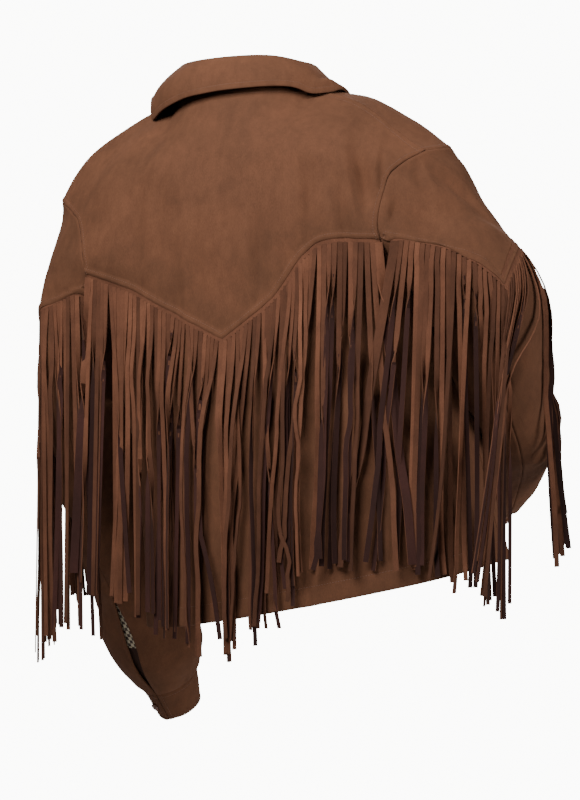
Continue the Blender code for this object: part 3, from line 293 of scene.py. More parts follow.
def feed(node: bpy.types.Node, links: Links) -> None:
    """Gives a node's inputs, by name or index, a socket to read, a value or a colour."""
    for name, value in links.items():
        socket = node.inputs[name]
        if isinstance(value, Socket):
            node.id_data.links.new(value, socket)
        else:
            socket.default_value = value


def add_node(
    tree: bpy.types.NodeTree, kind: str, links: Links | None = None, **settings: object
) -> bpy.types.Node:
    """Adds a node with its settings and inputs.

    Args:
        tree: where the node goes.
        kind: the node's type name.
        links: socket, value or colour for each input, by name or index.
        settings: the node's own properties.

    Returns:
        The node.
    """
    node = tree.nodes.new(kind)
    for name, value in settings.items():
        setattr(node, name, value)
    feed(node, links or {})
    return node


class FinishTree:
    """A material while its nodes are laid out."""

    def __init__(self, name: str) -> None:
        """Starts the material with its shader."""
        self.made = bpy.data.materials.new(name)
        self.made.use_nodes = True
        self.shader = self.made.node_tree.nodes["Principled BSDF"]

    def add(
        self, kind: str, links: Links | None = None, output: int | str = 0, **settings: object
    ) -> Socket:
        """Adds a shader node and gives one of its outputs."""
        node = add_node(self.made.node_tree, f"ShaderNode{kind}", links, **settings)
        return node.outputs[output]

    def noise(
        self, place: Socket, size: float, detail: float, roughness: float = 0.5,
        distortion: float = 0.0, stretch: float = 1.0,
    ) -> Socket:
        """Cloudy noise.

        Args:
            place: the coordinates that it lies in.
            size: metres across a cloud.
            detail: how many finer layers it has.
            roughness: how strong they are.
            distortion: how far they drag it about.
            stretch: squeeze of the upward coordinate, which draws the clouds out along it.

        Returns:
            The noise's value.
        """
        if stretch != 1.0:
            place = self.add("Mapping", {"Vector": place, "Scale": (1.0, 1.0, stretch)})
        looks = {"Scale": 1 / size, "Detail": detail, "Roughness": roughness}
        return self.add("TexNoise", {"Vector": place, **looks, "Distortion": distortion})

    def remap(
        self, value: Socket, old: tuple[float, float], new: tuple[float, float]
    ) -> Socket:
        """Carries a value from one range to another."""
        ends = ("From Min", "From Max", "To Min", "To Max")
        return self.add("MapRange", {"Value": value, **dict(zip(ends, old + new))})

    def mix(
        self, share: Socket | float, one: Socket | tuple, two: Socket | tuple, **settings: object
    ) -> Socket:
        """Mixes two colours."""
        return self.add("Mix", {0: share, 6: one, 7: two}, 2, data_type="RGBA", **settings)

    def product(self, one: Socket, two: Socket) -> Socket:
        """Multiplies two values."""
        return self.add("Math", {0: one, 1: two}, operation="MULTIPLY")

    def bump(self, height: Socket, strength: float, distance: float) -> Socket:
        """Fine relief for the shader's normal."""
        return self.add("Bump", {"Height": height, "Strength": strength, "Distance": distance})

    def finish(self, inputs: Links) -> bpy.types.Material:
        """Gives the shader its inputs and hands the material over."""
        feed(self.shader, inputs)
        return self.made


@dataclass(frozen=True)
class Suede:
    """Brushed suede: a soft nap that lies this way and that, fine fibres and a powdery sheen."""

    name: str
    pale: str
    deep: str
    roughness: float = 0.9
    sheen: float = 0.45
    sheen_tint: str = "74503a"
    patch: float = 75 * MM
    mottle: float = 9 * MM
    fibre: float = 0.9 * MM
    bump: float = 0.22
    tone_attribute: str = ""

    def make(self) -> bpy.types.Material:
        """Builds the material: nap patches and fibre specks in its colour, fibres in its bump."""
        work = FinishTree(self.name)
        place = work.add("TexCoord", output="Object")
        patches = work.noise(place, self.patch, 4.0, 0.62, distortion=0.6)
        fibres = work.noise(place, self.fibre, 3.0, 0.7, stretch=0.32)
        mottle = work.noise(place, self.mottle, 3.0, 0.6, stretch=0.5)
        lying = work.remap(patches, (0.3, 0.7), (0.2, 0.8))
        nap = work.mix(lying, colour(self.deep), colour(self.pale))
        specks = work.remap(fibres, (0.25, 0.75), (0.80, 1.16))
        shade = work.product(specks, work.remap(mottle, (0.3, 0.7), (0.91, 1.09)))
        # The fringe's per-point tone multiplies the colour: each strand's own tone together with its
        # painted shade, which darkens many strands and waves along them.
        if self.tone_attribute:
            tone = work.add("Attribute", output="Fac", attribute_name=self.tone_attribute)
            shade = work.product(shade, tone)
        grey = work.add("CombineColor", {0: shade, 1: shade, 2: shade})
        rough = (self.roughness - 0.06, self.roughness + 0.05)
        return work.finish(
            {
                "Base Color": work.mix(1.0, nap, grey, blend_type="MULTIPLY"),
                "Roughness": work.remap(patches, (0.0, 1.0), rough),
                "Normal": work.bump(fibres, self.bump, 0.5 * MM),
                "Specular IOR Level": 0.12,
                "Sheen Weight": self.sheen,
                "Sheen Roughness": 0.45,
                "Sheen Tint": colour(self.sheen_tint),
            }
        )


@dataclass(frozen=True)
class Knit:
    """The knitted back of bonded suede: fine dark ribs with little gloss."""

    name: str
    pale: str
    deep: str
    rib: float = 1.3 * MM

    def make(self) -> bpy.types.Material:
        """Builds the material: ribs across the cloth in its colour and bump."""
        work = FinishTree(self.name)
        waves = {"Vector": work.add("TexCoord", output="Object"), "Scale": 0.314 / self.rib}
        drawn = {"Distortion": 1.4, "Detail": 2.0, "Detail Scale": 2.0}
        ribs = work.add("TexWave", waves | drawn, 1, bands_direction="DIAGONAL")
        return work.finish(
            {
                "Base Color": work.mix(ribs, colour(self.deep), colour(self.pale)),
                "Normal": work.bump(ribs, 0.3, 0.3 * MM),
                "Roughness": 0.86,
                "Specular IOR Level": 0.15,
                "Sheen Weight": 0.15,
                "Sheen Tint": colour("4a2f22"),
            }
        )


@dataclass(frozen=True)
class Horn:
    """Polished brown button plastic with the cloudy streaks of horn."""

    name: str
    pale: str
    deep: str

    def make(self) -> bpy.types.Material:
        """Builds the material: stretched cloudy streaks under a soft gloss."""
        work = FinishTree(self.name)
        place = work.add("TexCoord", output="Object")
        streaks = work.add(
            "TexNoise", {"Vector": place, "Scale": 260.0, "Detail": 4.0, "Distortion": 2.2}
        )
        tone = work.mix(streaks, colour(self.deep), colour(self.pale))
        return work.finish({"Base Color": tone, "Roughness": 0.32, "Coat Weight": 0.15})


@dataclass(frozen=True)
class Thread:
    """Sewing thread: twisted plies that catch a little light."""

    name: str
    tone: str

    def make(self) -> bpy.types.Material:
        """Builds the material: fine twist lines in its colour."""
        work = FinishTree(self.name)
        place = work.add("TexCoord", output="Object")
        waves = {"Vector": place, "Scale": 900.0, "Distortion": 1.0}
        twist = work.add("TexWave", waves, 1, bands_direction="DIAGONAL")
        base = colour(self.tone)
        deep = tuple(c * 0.6 for c in base[:3]) + (1.0,)
        return work.finish({"Base Color": work.mix(twist, deep, base), "Roughness": 0.62})


@dataclass(frozen=True)
class Checked:
    """Woven facing in small pale and dark checks, laid by the piece's own map."""

    name: str
    pale: str
    deep: str
    check: float = 4.5 * MM

    def make(self) -> bpy.types.Material:
        """Builds the material: checks with a weave's fine bump."""
        work = FinishTree(self.name)
        place = work.add("UVMap", uv_map="cut")
        tones = {"Color1": colour(self.pale), "Color2": colour(self.deep)}
        checks = work.add("TexChecker", {"Vector": place, "Scale": 1 / self.check, **tones})
        weave = work.add("TexWave", {"Vector": place, "Scale": 600.0, "Distortion": 0.4}, 1)
        relief = work.bump(weave, 0.25, 0.2 * MM)
        return work.finish({"Base Color": checks, "Normal": relief, "Roughness": 0.85})


# ---------------------------------------------------------------- sections of the jacket


@dataclass(frozen=True)
class TorsoSection:
    """One arc across the back or the front, in millimetres and degrees."""

    x: float
    mid_z: float
    edge_z: float
    half: float
    mid_y: float
    edge_y: float
    wrap: float
    tilt: float
    power: float = 1.0

    def curve(self, a: Points) -> Points:
        """Points of the arc from the wearer's right edge (a = -1) to the left edge (a = 1)."""
        wrap = math.radians(self.wrap)
        x = self.half * np.sin(a * wrap) / math.sin(wrap)
        bow = (np.cos(a * wrap) - math.cos(wrap)) / (1 - math.cos(wrap))
        y = self.edge_y + (self.mid_y - self.edge_y) * np.maximum(bow, 0) ** self.power
        z = self.mid_z + (self.edge_z - self.mid_z) * a**2 + self.tilt * x
        return np.stack([x + self.x, y, z], -1) * MM


@dataclass(frozen=True)
class Fold:
    """One soft fold of the torso, in millimetres and degrees. Its crest lies beside its trough."""

    x: float
    z: float
    lean: float
    length: float
    width: float
    depth: float
    crest: float = 0.0

    def at(self, p: Points) -> Points:
        """How far the fold moves points outwards, in metres."""
        dx, dz = p[..., 0] - self.x * MM, p[..., 2] - self.z * MM
        lean = math.radians(self.lean)
        along = (dz * math.cos(lean) + dx * math.sin(lean)) / (self.length * MM)
        side = (dx * math.cos(lean) - dz * math.sin(lean)) / (self.width * MM)
        shape = np.exp(-(side**2)) - self.crest * np.exp(-((side - 1.7) ** 2))
        return (1.4 if self.crest else 1.0) * self.depth * MM * np.exp(-(along**2)) * shape


@dataclass(frozen=True)
class ArmSection:
    """One ring of a sleeve, in millimetres and degrees: its centre, the lift of its outward line,
    that line's turn to the front, and its half sizes outwards and front to back."""

    x: float
    y: float
    z: float
    lift: float
    turn: float
    out: float
    side: float


@dataclass(frozen=True)
class ArmFold:
    """One fold of a sleeve: its place along and round it, its half sizes, slant and depth."""

    along: float
    degrees: float
    half_along: float
    half_degrees: float
    depth: float
    slant: float = 0.0
    crest: float = 0.0

    def at(self, degrees: Points, v: Points) -> Points:
        """How far the fold moves the sleeve outwards, in metres."""
        turn = (degrees - self.degrees + 180) % 360 - 180
        along = (v - self.along - self.slant * turn[None] / 100) / self.half_along
        shape = np.exp(-(along**2)) - self.crest * np.exp(-((along - 1.7) ** 2))
        return self.depth * MM * shape * np.exp(-((turn / self.half_degrees)[None] ** 2))


@dataclass(frozen=True)
class Neck:
    """The neck seam's ring, in millimetres."""

    x: float = 22
    half: float = 88
    back: float = 64
    front: float = 94
    drop: float = 64
    side: float = 80
    tilt: float = -0.03

    def line(self, degrees: Points, out: Points | float = 0.0) -> Points:
        """Points of the neck seam.

        Args:
            degrees: 0 at the nape, 180 at the centre front, positive to the wearer's left.
            out: metres outside the seam.

        Returns:
            The points.
        """
        b = np.radians(np.asarray(degrees, float))
        depth = np.where(np.cos(b) > 0, self.back, self.front) * MM + out
        x = self.x * MM + (self.half * MM + out) * np.sin(b)
        fall = ((1 - np.cos(b)) / 2) ** 4.5
        z = -self.drop * fall * MM + self.tilt * (x - self.x * MM)
        return np.stack([x, depth * np.cos(b), z], -1)


@dataclass(frozen=True)
class ShoulderLine:
    """A line over both shoulders: distances out from their centre, depths and heights, in mm."""

    right: tuple[tuple[float, ...], ...]
    left: tuple[tuple[float, ...], ...]
    centre: float = 12

    def line(self, a: Points, neck: Neck, share_of_neck: float) -> Points:
        """Points outside the neck; the share of the half width past the neck runs to the armhole."""
        sides = []
        for table, sign in ((self.right, -1.0), (self.left, 1.0)):
            out_at, y_at, z_at = table
            share = np.clip((np.abs(a) - share_of_neck) / (1 - share_of_neck), 0, 1)
            out = out_at[0] + (out_at[-1] - out_at[0]) * share
            short = max(neck.half - 1.0 - out_at[0], 0.0)  # of the neck's side
            out = out + short * np.exp(-share / 0.05)
            x = sign * out + neck.x + (self.centre - neck.x) * share
            y, z = smooth_through(out_at, y_at, out), smooth_through(out_at, z_at, out)
            sides.append(np.stack([x, y, z], -1))
        return np.where((a < 0)[..., None], sides[0], sides[1]) * MM


NECK = Neck()
NECK_SHARE = 0.36  # the neck's part of half a torso's top edge
CLOTH = 2.0 * MM
SEAM_GAP = 0.4 * MM
SIDE_INSET = 0.0016  # how far a panel's last column stays inside the side seam
LINE_STEP = 0.004  # step along a surface for its slopes
FRONT_SEAM_TILT = 0.08
HALVINGS = 30  # passes that find the yoke seam's row
SHOULDER_SEAM = ShoulderLine(
    right=((82, 120, 160, 205, 225, 240), (12, 17, 26, 36, 40, 43), (1, -6, -22, -56, -71, -80)),
    left=((82, 120, 160, 205, 230, 249), (12, 17, 26, 36, 40, 42), (-3, -15, -36, -66, -94, -125)),
)
CREST_TURN = 22  # degrees that the crest line's neck end turns past the shoulder seam
CREST_OFF, CREST_DROP = 0.013, 0.010  # how far it runs outside the neck, and below it
CREST_DEPTHS = (-16, -16, -15, -13, -12, -12)
SHOULDER_CREST = ShoulderLine(
    right=((90, 120, 160, 205, 230, 252), CREST_DEPTHS, (1, -5, -13, -38, -56, -73)),
    left=((90, 120, 160, 205, 234, 257), CREST_DEPTHS, (-3, -13, -29, -55, -86, -122)),
)


class Half(Enum):
    """The two halves of the torso."""

    BACK = "back"
    FRONT = "front"


class Side(Enum):
    """The wearer's sides."""

    RIGHT = -1
    LEFT = 1

    @property
    def word(self) -> str:
        """The side's name in a piece's name."""
        return self.name.lower()


@dataclass
class Torso:
    """The surface of the back or the front: columns a from -1 to 1, rows t from hem to top."""

    half: Half
    sections: dict[str, TorsoSection]
    knots: tuple[float, ...]
    folds: tuple[Fold, ...]
    seam_x: tuple[float, ...]
    seam_z: tuple[float, ...]
    ripples: tuple[Ripple, ...] = (Ripple(85 * MM, 0.55 * MM, 4), Ripple(26 * MM, 0.16 * MM, 9))

    @property
    def front(self) -> bool:
        """True for the front."""
        return self.half is Half.FRONT

    @property
    def t_underarm(self) -> float:
        """The row of the underarm."""
        return self.knots[list(self.sections).index("underarm")]

    def top_edge(self, a: Points) -> Points:
        """The neck line, then the shoulder seam."""
        inside = np.clip(np.abs(a) / NECK_SHARE, 0, 1)
        start = 180 if self.front else 0
        degrees = np.sign(a) * (start + (NECK.side - start) * inside)
        neck = NECK.line(np.where(a == 0, start, degrees))
        shoulder = SHOULDER_SEAM.line(a, NECK, NECK_SHARE)
        return np.where((np.abs(a) < NECK_SHARE)[..., None], neck, shoulder)

    def crest_edge(self, a: Points) -> Points:
        """The front's line over the crest of the shoulder, and just outside the neck."""
        inside = np.clip(np.abs(a) / NECK_SHARE, 0, 1)
        degrees = np.sign(a) * (180 + (NECK.side - 180) * inside + CREST_TURN * inside**3)
        near = NECK.line(np.where(a == 0, 180, degrees), out=CREST_OFF * (1 - 0.75 * inside**3))
        near[..., 2] -= CREST_DROP * (1 - 0.4 * inside)
        shoulder = SHOULDER_CREST.line(a, NECK, NECK_SHARE)
        blend = smooth_step(np.abs(a), NECK_SHARE * 0.75, NECK_SHARE * 1.35)[..., None]
        return near * (1 - blend) + shoulder * blend

    def curves(self, a: Points) -> Points:
        """All curves that the surface runs through."""
        made = [section.curve(a) for section in self.sections.values()]
        if self.front:
            made.append(self.crest_edge(a))
        made.append(self.top_edge(a))
        return np.stack(made)

    def plain(self, a: Points, t: Points) -> Points:
        """Points without folds. Below the underarm both halves' side edges run alike."""
        curves, knots = self.curves(a), np.array(self.knots)
        k = list(self.sections).index("underarm")
        below = (curves[k] - curves[k - 1]) / (knots[k] - knots[k - 1])
        level = (curves[k + 1] - curves[k - 1]) / (knots[k + 1] - knots[k - 1])
        share = smooth_step(np.abs(a), 0.75, 1.0)[:, None]
        return loft(knots, curves, t, {k: level * (1 - share) + below * share})

    def normals(self, a: Points, t: Points) -> Points:
        """Ways out of the surface."""
        step = LINE_STEP
        across = self.plain(np.clip(a + step, -1, 1), t) - self.plain(np.clip(a - step, -1, 1), t)
        up = self.plain(a, np.clip(t + step, 0, 1)) - self.plain(a, np.clip(t - step, 0, 1))
        n = unit(np.cross(across, up))
        return n if self.front else -n

    def points(self, a: Points, t: Points, out: Points | float = 0.0, fine: bool = True) -> Points:
        """Points of the folded cloth.

        Args:
            a: columns.
            t: rows, (rows, columns).
            out: metres outwards.
            fine: with the small ripples, or with the folds alone.

        Returns:
            The points.
        """
        p, n = self.plain(a, t), self.normals(a, t)
        depth = sum(fold.at(p) for fold in self.folds)
        if fine:
            calm = smooth_step(1 - t, 0.0, 0.06)
            depth = depth + calm * sum(ripple.at(p) for ripple in self.ripples)
        return p + n * (depth + out)[..., None]

    def seam_height(self, x: Points) -> Points:
        """The yoke seam's height over x."""
        if self.front:
            out = np.clip(np.abs(x / MM - SHOULDER_SEAM.centre), 0, self.seam_x[-1])
            level = smooth_through(self.seam_x, self.seam_z, out) * MM
            return level - FRONT_SEAM_TILT * (x - SHOULDER_SEAM.centre * MM)
        return through_tip(self.seam_x, self.seam_z, int(np.argmin(self.seam_z)), x / MM) * MM

    def seam_t(self, a: Points) -> Points:
        """The yoke seam's row in each column."""
        low, high = np.full(len(a), self.t_underarm), np.full(len(a), 0.985)
        for _ in range(HALVINGS):
            mid = (low + high) / 2
            p = self.plain(a, mid[None])[0]
            over = p[:, 2] > self.seam_height(p[:, 0])
            high, low = np.where(over, mid, high), np.where(over, low, mid)
        return (low + high) / 2


BACK = Torso(
    half=Half.BACK,
    sections={
        "hem": TorsoSection(-81, -618, -601, 230, 146, 0, 90, -0.19),
        "hip": TorsoSection(-66, -512, -505, 220, 144, 0, 90, -0.17),
        "waist": TorsoSection(-42, -415, -410, 210, 138, -2, 90, -0.145),
        "underarm": TorsoSection(-19, -325, -325, 209, 128, -4, 90, -0.12),
        "across": TorsoSection(4, -205, -205, 194, 121, 88, 52, -0.10),
        "blade": TorsoSection(11, -118, -140, 204, 112, 79, 50, -0.095),
        "yoke_top": TorsoSection(14, -52, -119, 220, 92, 63, 48, -0.10),
    },
    knots=(0.0, 0.155, 0.30, 0.435, 0.61, 0.74, 0.875, 1.0),
    folds=(
        Fold(-165, -120, 12, 60, 12, -6),
        Fold(-182, -140, 14, 48, 10, -5),
        Fold(120, -185, 0, 90, 20, -6),
        Fold(62, -225, 3, 70, 13, -5),
        Fold(14, -235, -3, 70, 12, -4),
        Fold(-60, -470, 6, 150, 26, -7),
        Fold(70, -450, -4, 140, 26, -7),
        Fold(-190, -500, 10, 130, 24, 6),
        Fold(-78, -132, 4, 46, 12, 2.2),
        Fold(35, -110, -16, 60, 26, -1.8, 0.4),
        Fold(150, -110, -30, 42, 15, -2.4, 0.4),
        Fold(-120, -215, 24, 40, 11, -1.8, 0.4),
        Fold(-105, -60, 62, 60, 12, -1.6, 0.3),
        Fold(96, -55, -66, 64, 14, -1.5, 0.3),
        Fold(-20, -545, 2, 70, 14, -3.0, 0.4),
        Fold(-118, -560, 4, 60, 12, -3.2, 0.4),
        Fold(108, -560, -5, 64, 13, -2.8, 0.4),
        Fold(-215, -430, 16, 70, 12, -3.0, 0.4),
        Fold(20, -360, 3, 80, 16, -2.6, 0.3),
        Fold(-130, -350, 7, 90, 15, -2.8, 0.4),
        Fold(-262, -390, 0, 70, 26, 10),
        Fold(34, -218, 2, 56, 9, -3.8, 0.6),
        Fold(-48, -212, 3, 48, 9, -4.0, 0.6),
        Fold(88, -170, -4, 60, 10, -3.2, 0.5),
        Fold(-108, -140, 6, 50, 9, -3.6, 0.5),
        Fold(-150, -165, 10, 40, 9, -3.8, 0.5),
        Fold(-167, -117, 13, 50, 9, -3.4, 0.9),
        Fold(-187, -108, 2, 28, 4.5, -3.2, 0.6),
    ),
    seam_x=(-196, -160, -138, -118, -104, -92, -78, -66, -38, -4, 42, 95, 150, 200),
    seam_z=(-184, -182, -182, -187, -198, -213, -234, -250, -273, -298, -277, -252, -229, -214),
)
FRONT = Torso(
    half=Half.FRONT,
    sections={
        "hem": TorsoSection(-81, -605, -601, 230, -150, 0, 90, -0.19),
        "hip": TorsoSection(-66, -510, -505, 220, -154, 0, 90, -0.17),
        "waist": TorsoSection(-42, -412, -410, 210, -153, -2, 90, -0.145),
        "underarm": TorsoSection(-19, -322, -325, 209, -146, -4, 90, -0.12, 0.82),
        "across": TorsoSection(4, -225, -205, 196, -140, -62, 60, -0.10),
        "chest": TorsoSection(11, -150, -140, 206, -118, -52, 55, -0.095),
        "collar_bone": TorsoSection(14, -108, -112, 224, -104, -36, 50, -0.11),
    },
    knots=(0.0, 0.155, 0.30, 0.435, 0.60, 0.715, 0.815, 0.94, 1.0),
    folds=(
        Fold(120, -330, -12, 130, 18, -6),
        Fold(-160, -330, 14, 130, 18, -6),
        Fold(60, -500, -3, 120, 22, -5),
        Fold(-200, -500, 6, 120, 22, -6),
        Fold(84, -150, -20, 60, 14, -2.4, 0.4),
        Fold(-70, -150, 22, 66, 13, -2.6, 0.4),
        Fold(150, -120, -48, 52, 13, -2.2, 0.4),
        Fold(-150, -110, 46, 50, 12, -2.4, 0.4),
        Fold(-96, -430, 5, 110, 15, -3.4, 0.4),
        Fold(120, -480, -6, 110, 14, -3.2, 0.4),
        Fold(-140, -565, 3, 60, 12, -3.0, 0.4),
        Fold(20, -570, -2, 56, 12, -2.6, 0.4),
        Fold(-262, -390, 0, 70, 26, 10),
    ),
    seam_x=(0, 40, 100, 150, 205),
    seam_z=(-186, -196, -214, -196, -172),
)


PANEL_ROWS = 62
YOKE_ROWS = 34
ARM_ROWS = 16  # rows between the underarm and the yoke seam
HEM_WIDTH = 22 * MM
HEM_FADE = (21 * MM, 23 * MM)  # where the turned-up hem ends on the inside
EDGE_LAP = 2.4 * MM  # how far a yoke's lower edge laps over the fringe strip


def gap_in_t(torso: Torso, a: Points, t: Points, size: float) -> Points:
    """The change of t that moves a point by size along the surface."""
    step = torso.plain(a, (t + LINE_STEP)[None]) - torso.plain(a, (t - LINE_STEP)[None])
    return size * 2 * LINE_STEP / np.linalg.norm(step[0], axis=1)


def edge_in(a: Points) -> Points:
    """Columns kept just inside the side seams."""
    return np.clip(a, -1 + SIDE_INSET, 1 - SIDE_INSET)


@dataclass
class TorsoRows:
    """Rows of a torso panel and of the yoke over it, shared with the sleeves at the armholes."""

    torso: Torso
    a: Points
    low: Points = field(init=False)
    yoke: Points = field(init=False)

    def __post_init__(self) -> None:
        """Works the rows out for each column."""
        torso, a = self.torso, self.a
        seam = torso.seam_t(a)
        lap = gap_in_t(torso, a, seam, EDGE_LAP)
        top = gap_in_t(torso, a, np.full(len(a), 1 - LINE_STEP), SEAM_GAP)
        share = torso.t_underarm / seam
        below = spread(PANEL_ROWS, 0.29, start=HEM_WIDTH)[:, None] * share[None]
        above = share[None] + (1 - share[None]) * np.linspace(0, 1, ARM_ROWS + 1)[1:, None]
        self.low = np.concatenate([below, above]) * seam[None]
        rise = spread(YOKE_ROWS, 0.17, start=6 * MM)[:, None]
        self.yoke = (seam - lap)[None] * (1 - rise) + rise * (1 - top)[None]
        self.seam = seam
        self.below = len(below) - 1

    def armhole(self) -> Points:
        """Rows of the edge from the underarm to the shoulder, for one column."""
        over = self.yoke[self.yoke[:, 0] > self.low[-1, 0] + 1e-4, 0]
        return np.concatenate([self.low[self.below :, 0], over])[:, None]


@dataclass
class Wall:
    """A cloth piece as a closed wall: an outer sheet, an inner sheet and the rims between them."""

    name: str
    outer: Points
    inner: Points

    def faces(self) -> tuple[list[tuple[int, ...]], int]:
        """Faces of the wall, the outer sheet's and rims' first, and how many those are."""
        rows, cols = self.outer.shape[:2]
        size = rows * cols
        outside, inside = [], []
        for r in range(rows - 1):
            for k in range(r * cols, (r + 1) * cols - 1):
                quad = (k, k + 1, k + cols + 1, k + cols)
                outside.append(quad)
                inside.append(tuple(corner + size for corner in quad[::-1]))
        for k in range(cols - 1):
            outside.append((k, k + size, k + 1 + size, k + 1))
            k += size - cols
            outside.append((k, k + 1, k + 1 + size, k + size))
        for k in range(0, size - cols, cols):
            outside.append((k, k + cols, k + cols + size, k + size))
            k += cols - 1
            outside.append((k, k + size, k + cols + size, k + cols))
        return outside + inside, len(outside)

    def make(self, face: bpy.types.Material, back: bpy.types.Material) -> bpy.types.Object:
        """Builds the piece.

        Args:
            face: finish of the outer sheet and the rims.
            back: finish of the inner sheet.

        Returns:
            The piece, with crisp rims and smooth sheets.
        """
        faces, outside = self.faces()
        points = np.concatenate([self.outer.reshape(-1, 3), self.inner.reshape(-1, 3)])
        made = make_mesh(self.name, points, faces, (face, back))
        slots = np.zeros(len(faces), dtype=np.int32)
        slots[outside:] = 1
        made.data.polygons.foreach_set("material_index", slots)
        turn_out(made)
        made.data.set_sharp_from_angle(angle=math.radians(48))
        return made


def link_object(name: str, data: bpy.types.ID) -> bpy.types.Object:
    """A new object in the scene."""
    made = bpy.data.objects.new(name, data)
    bpy.context.scene.collection.objects.link(made)
    return made


def make_mesh(
    name: str,
    points: Points,
    faces: Sequence[tuple[int, ...]],
    finishes: Sequence[bpy.types.Material],
) -> bpy.types.Object:
    """A smooth mesh object from points and faces."""
    mesh = bpy.data.meshes.new(name)
    mesh.from_pydata([tuple(map(float, p)) for p in points], [], faces)
    for finish in finishes:
        mesh.materials.append(finish)
    mesh.shade_smooth()
    return link_object(name, mesh)


def turn_out(made: bpy.types.Object) -> None:
    """Turns a closed mesh's faces outwards."""
    work = bmesh.new()
    work.from_mesh(made.data)
    bmesh.ops.recalc_face_normals(work, faces=work.faces)
    work.to_mesh(made.data)
    work.free()


@dataclass
class StitchLines:
    """Lines of topstitching: runs of points on the cloth, each with its ways out."""

    name: str
    runs: list[tuple[Points, Points]] = field(default_factory=list)
    pitch: float = 3.3 * MM
    length: float = 2.5 * MM
    thick: float = 0.55 * MM

    def along(self, sheet: Points, ways: Points, edge: Edge, off: float) -> None:
        """Adds a run at a fixed distance from an edge of a sheet.

        Args:
            sheet: the cloth's outer points.
            ways: its ways out.
            edge: the edge that the run follows.
            off: metres from that edge.
        """
        d = run_from(sheet, edge)
        if edge in (Edge.LEFT, Edge.RIGHT):
            d, sheet, ways = d.T, np.swapaxes(sheet, 0, 1), np.swapaxes(ways, 0, 1)
        if edge in (Edge.TOP, Edge.RIGHT):
            d, sheet, ways = d[::-1], sheet[::-1], ways[::-1]
        spots, outs = [], []
        for c in range(d.shape[1]):
            spots.append(read_line(off, d[:, c], sheet[:, c]))
            outs.append(read_line(off, d[:, c], ways[:, c]))
        outs = unit(np.array(outs))
        self.runs.append((np.array(spots) + outs * 0.10 * MM, outs))

    def tree(self, thread: bpy.types.Material) -> bpy.types.GeometryNodeTree:
        """Geometry nodes that set one stitch at each step of the runs, flat on the cloth."""
        tree = bpy.data.node_groups.new(f"{self.name}_nodes", "GeometryNodeTree")
        socket = tree.interface.new_socket
        socket("Runs", in_out="INPUT", socket_type="NodeSocketGeometry")
        sizes = {"Pitch": self.pitch, "Length": self.length, "Thick": self.thick}
        for name, value in sizes.items():
            socket(name, in_out="INPUT", socket_type="NodeSocketFloat").default_value = value
        socket("Stitches", in_out="OUTPUT", socket_type="NodeSocketGeometry")
        given = add_node(tree, "NodeGroupInput").outputs

        def add(kind: str, links: Links | None = None, **settings: object) -> Socket:
            return add_node(tree, kind, links, **settings).outputs[0]

        curve = add("GeometryNodeMeshToCurve", {"Mesh": given["Runs"]})
        even = {"Curve": curve, "Length": given["Pitch"]}
        steps = add("GeometryNodeResampleCurve", even, mode="LENGTH")
        size = add(
            "ShaderNodeCombineXYZ", {0: given["Length"], 1: given["Thick"], 2: given["Thick"]}
        )
        half = add("ShaderNodeVectorMath", {0: size, 1: (0.5, 0.5, 0.5)}, operation="MULTIPLY")
        ball = add("GeometryNodeMeshUVSphere", {"Segments": 6, "Rings": 4, "Radius": 1.0})
        stitch = add("GeometryNodeTransform", {"Geometry": ball, "Scale": half})
        line = add("GeometryNodeInputTangent")
        lie = add("FunctionNodeAlignRotationToVector", {"Vector": line}, axis="X")
        out = add("GeometryNodeInputNamedAttribute", {"Name": "out"}, data_type="FLOAT_VECTOR")
        upright = {"Rotation": lie, "Vector": out}
        turned = add("FunctionNodeAlignRotationToVector", upright, axis="Z", pivot_axis="X")
        laid = {"Points": steps, "Instance": stitch, "Rotation": turned}
        many = add("GeometryNodeInstanceOnPoints", laid)
        real = add("GeometryNodeRealizeInstances", {"Geometry": many})
        smooth = add("GeometryNodeSetShadeSmooth", {"Geometry": real})
        done = add("GeometryNodeSetMaterial", {"Geometry": smooth, "Material": thread})
        add_node(tree, "NodeGroupOutput", {0: done})
        return tree

    def make(self, thread: bpy.types.Material) -> bpy.types.Object:
        """Builds all the stitches as one piece."""
        points = np.concatenate([spots for spots, _ in self.runs])
        outs = np.concatenate([ways for _, ways in self.runs])
        edges, first = [], 0
        for spots, _ in self.runs:
            edges += [(first + k, first + k + 1) for k in range(len(spots) - 1)]
            first += len(spots)
        mesh = bpy.data.meshes.new(f"{self.name}_runs")
        mesh.from_pydata([tuple(map(float, p)) for p in points], edges, [])
        mesh.attributes.new("out", "FLOAT_VECTOR", "POINT").data.foreach_set("vector", outs.ravel())
        lines = link_object(f"{self.name}_runs", mesh)
        lines.modifiers.new("stitches", "NODES").node_group = self.tree(thread)
        graph = bpy.context.evaluated_depsgraph_get()
        stitched = bpy.data.meshes.new_from_object(lines.evaluated_get(graph))
        made = link_object(self.name, stitched)
        bpy.data.objects.remove(lines)
        if not stitched.materials:
            stitched.materials.append(thread)
        return made


# ---------------------------------------------------------------- sleeves


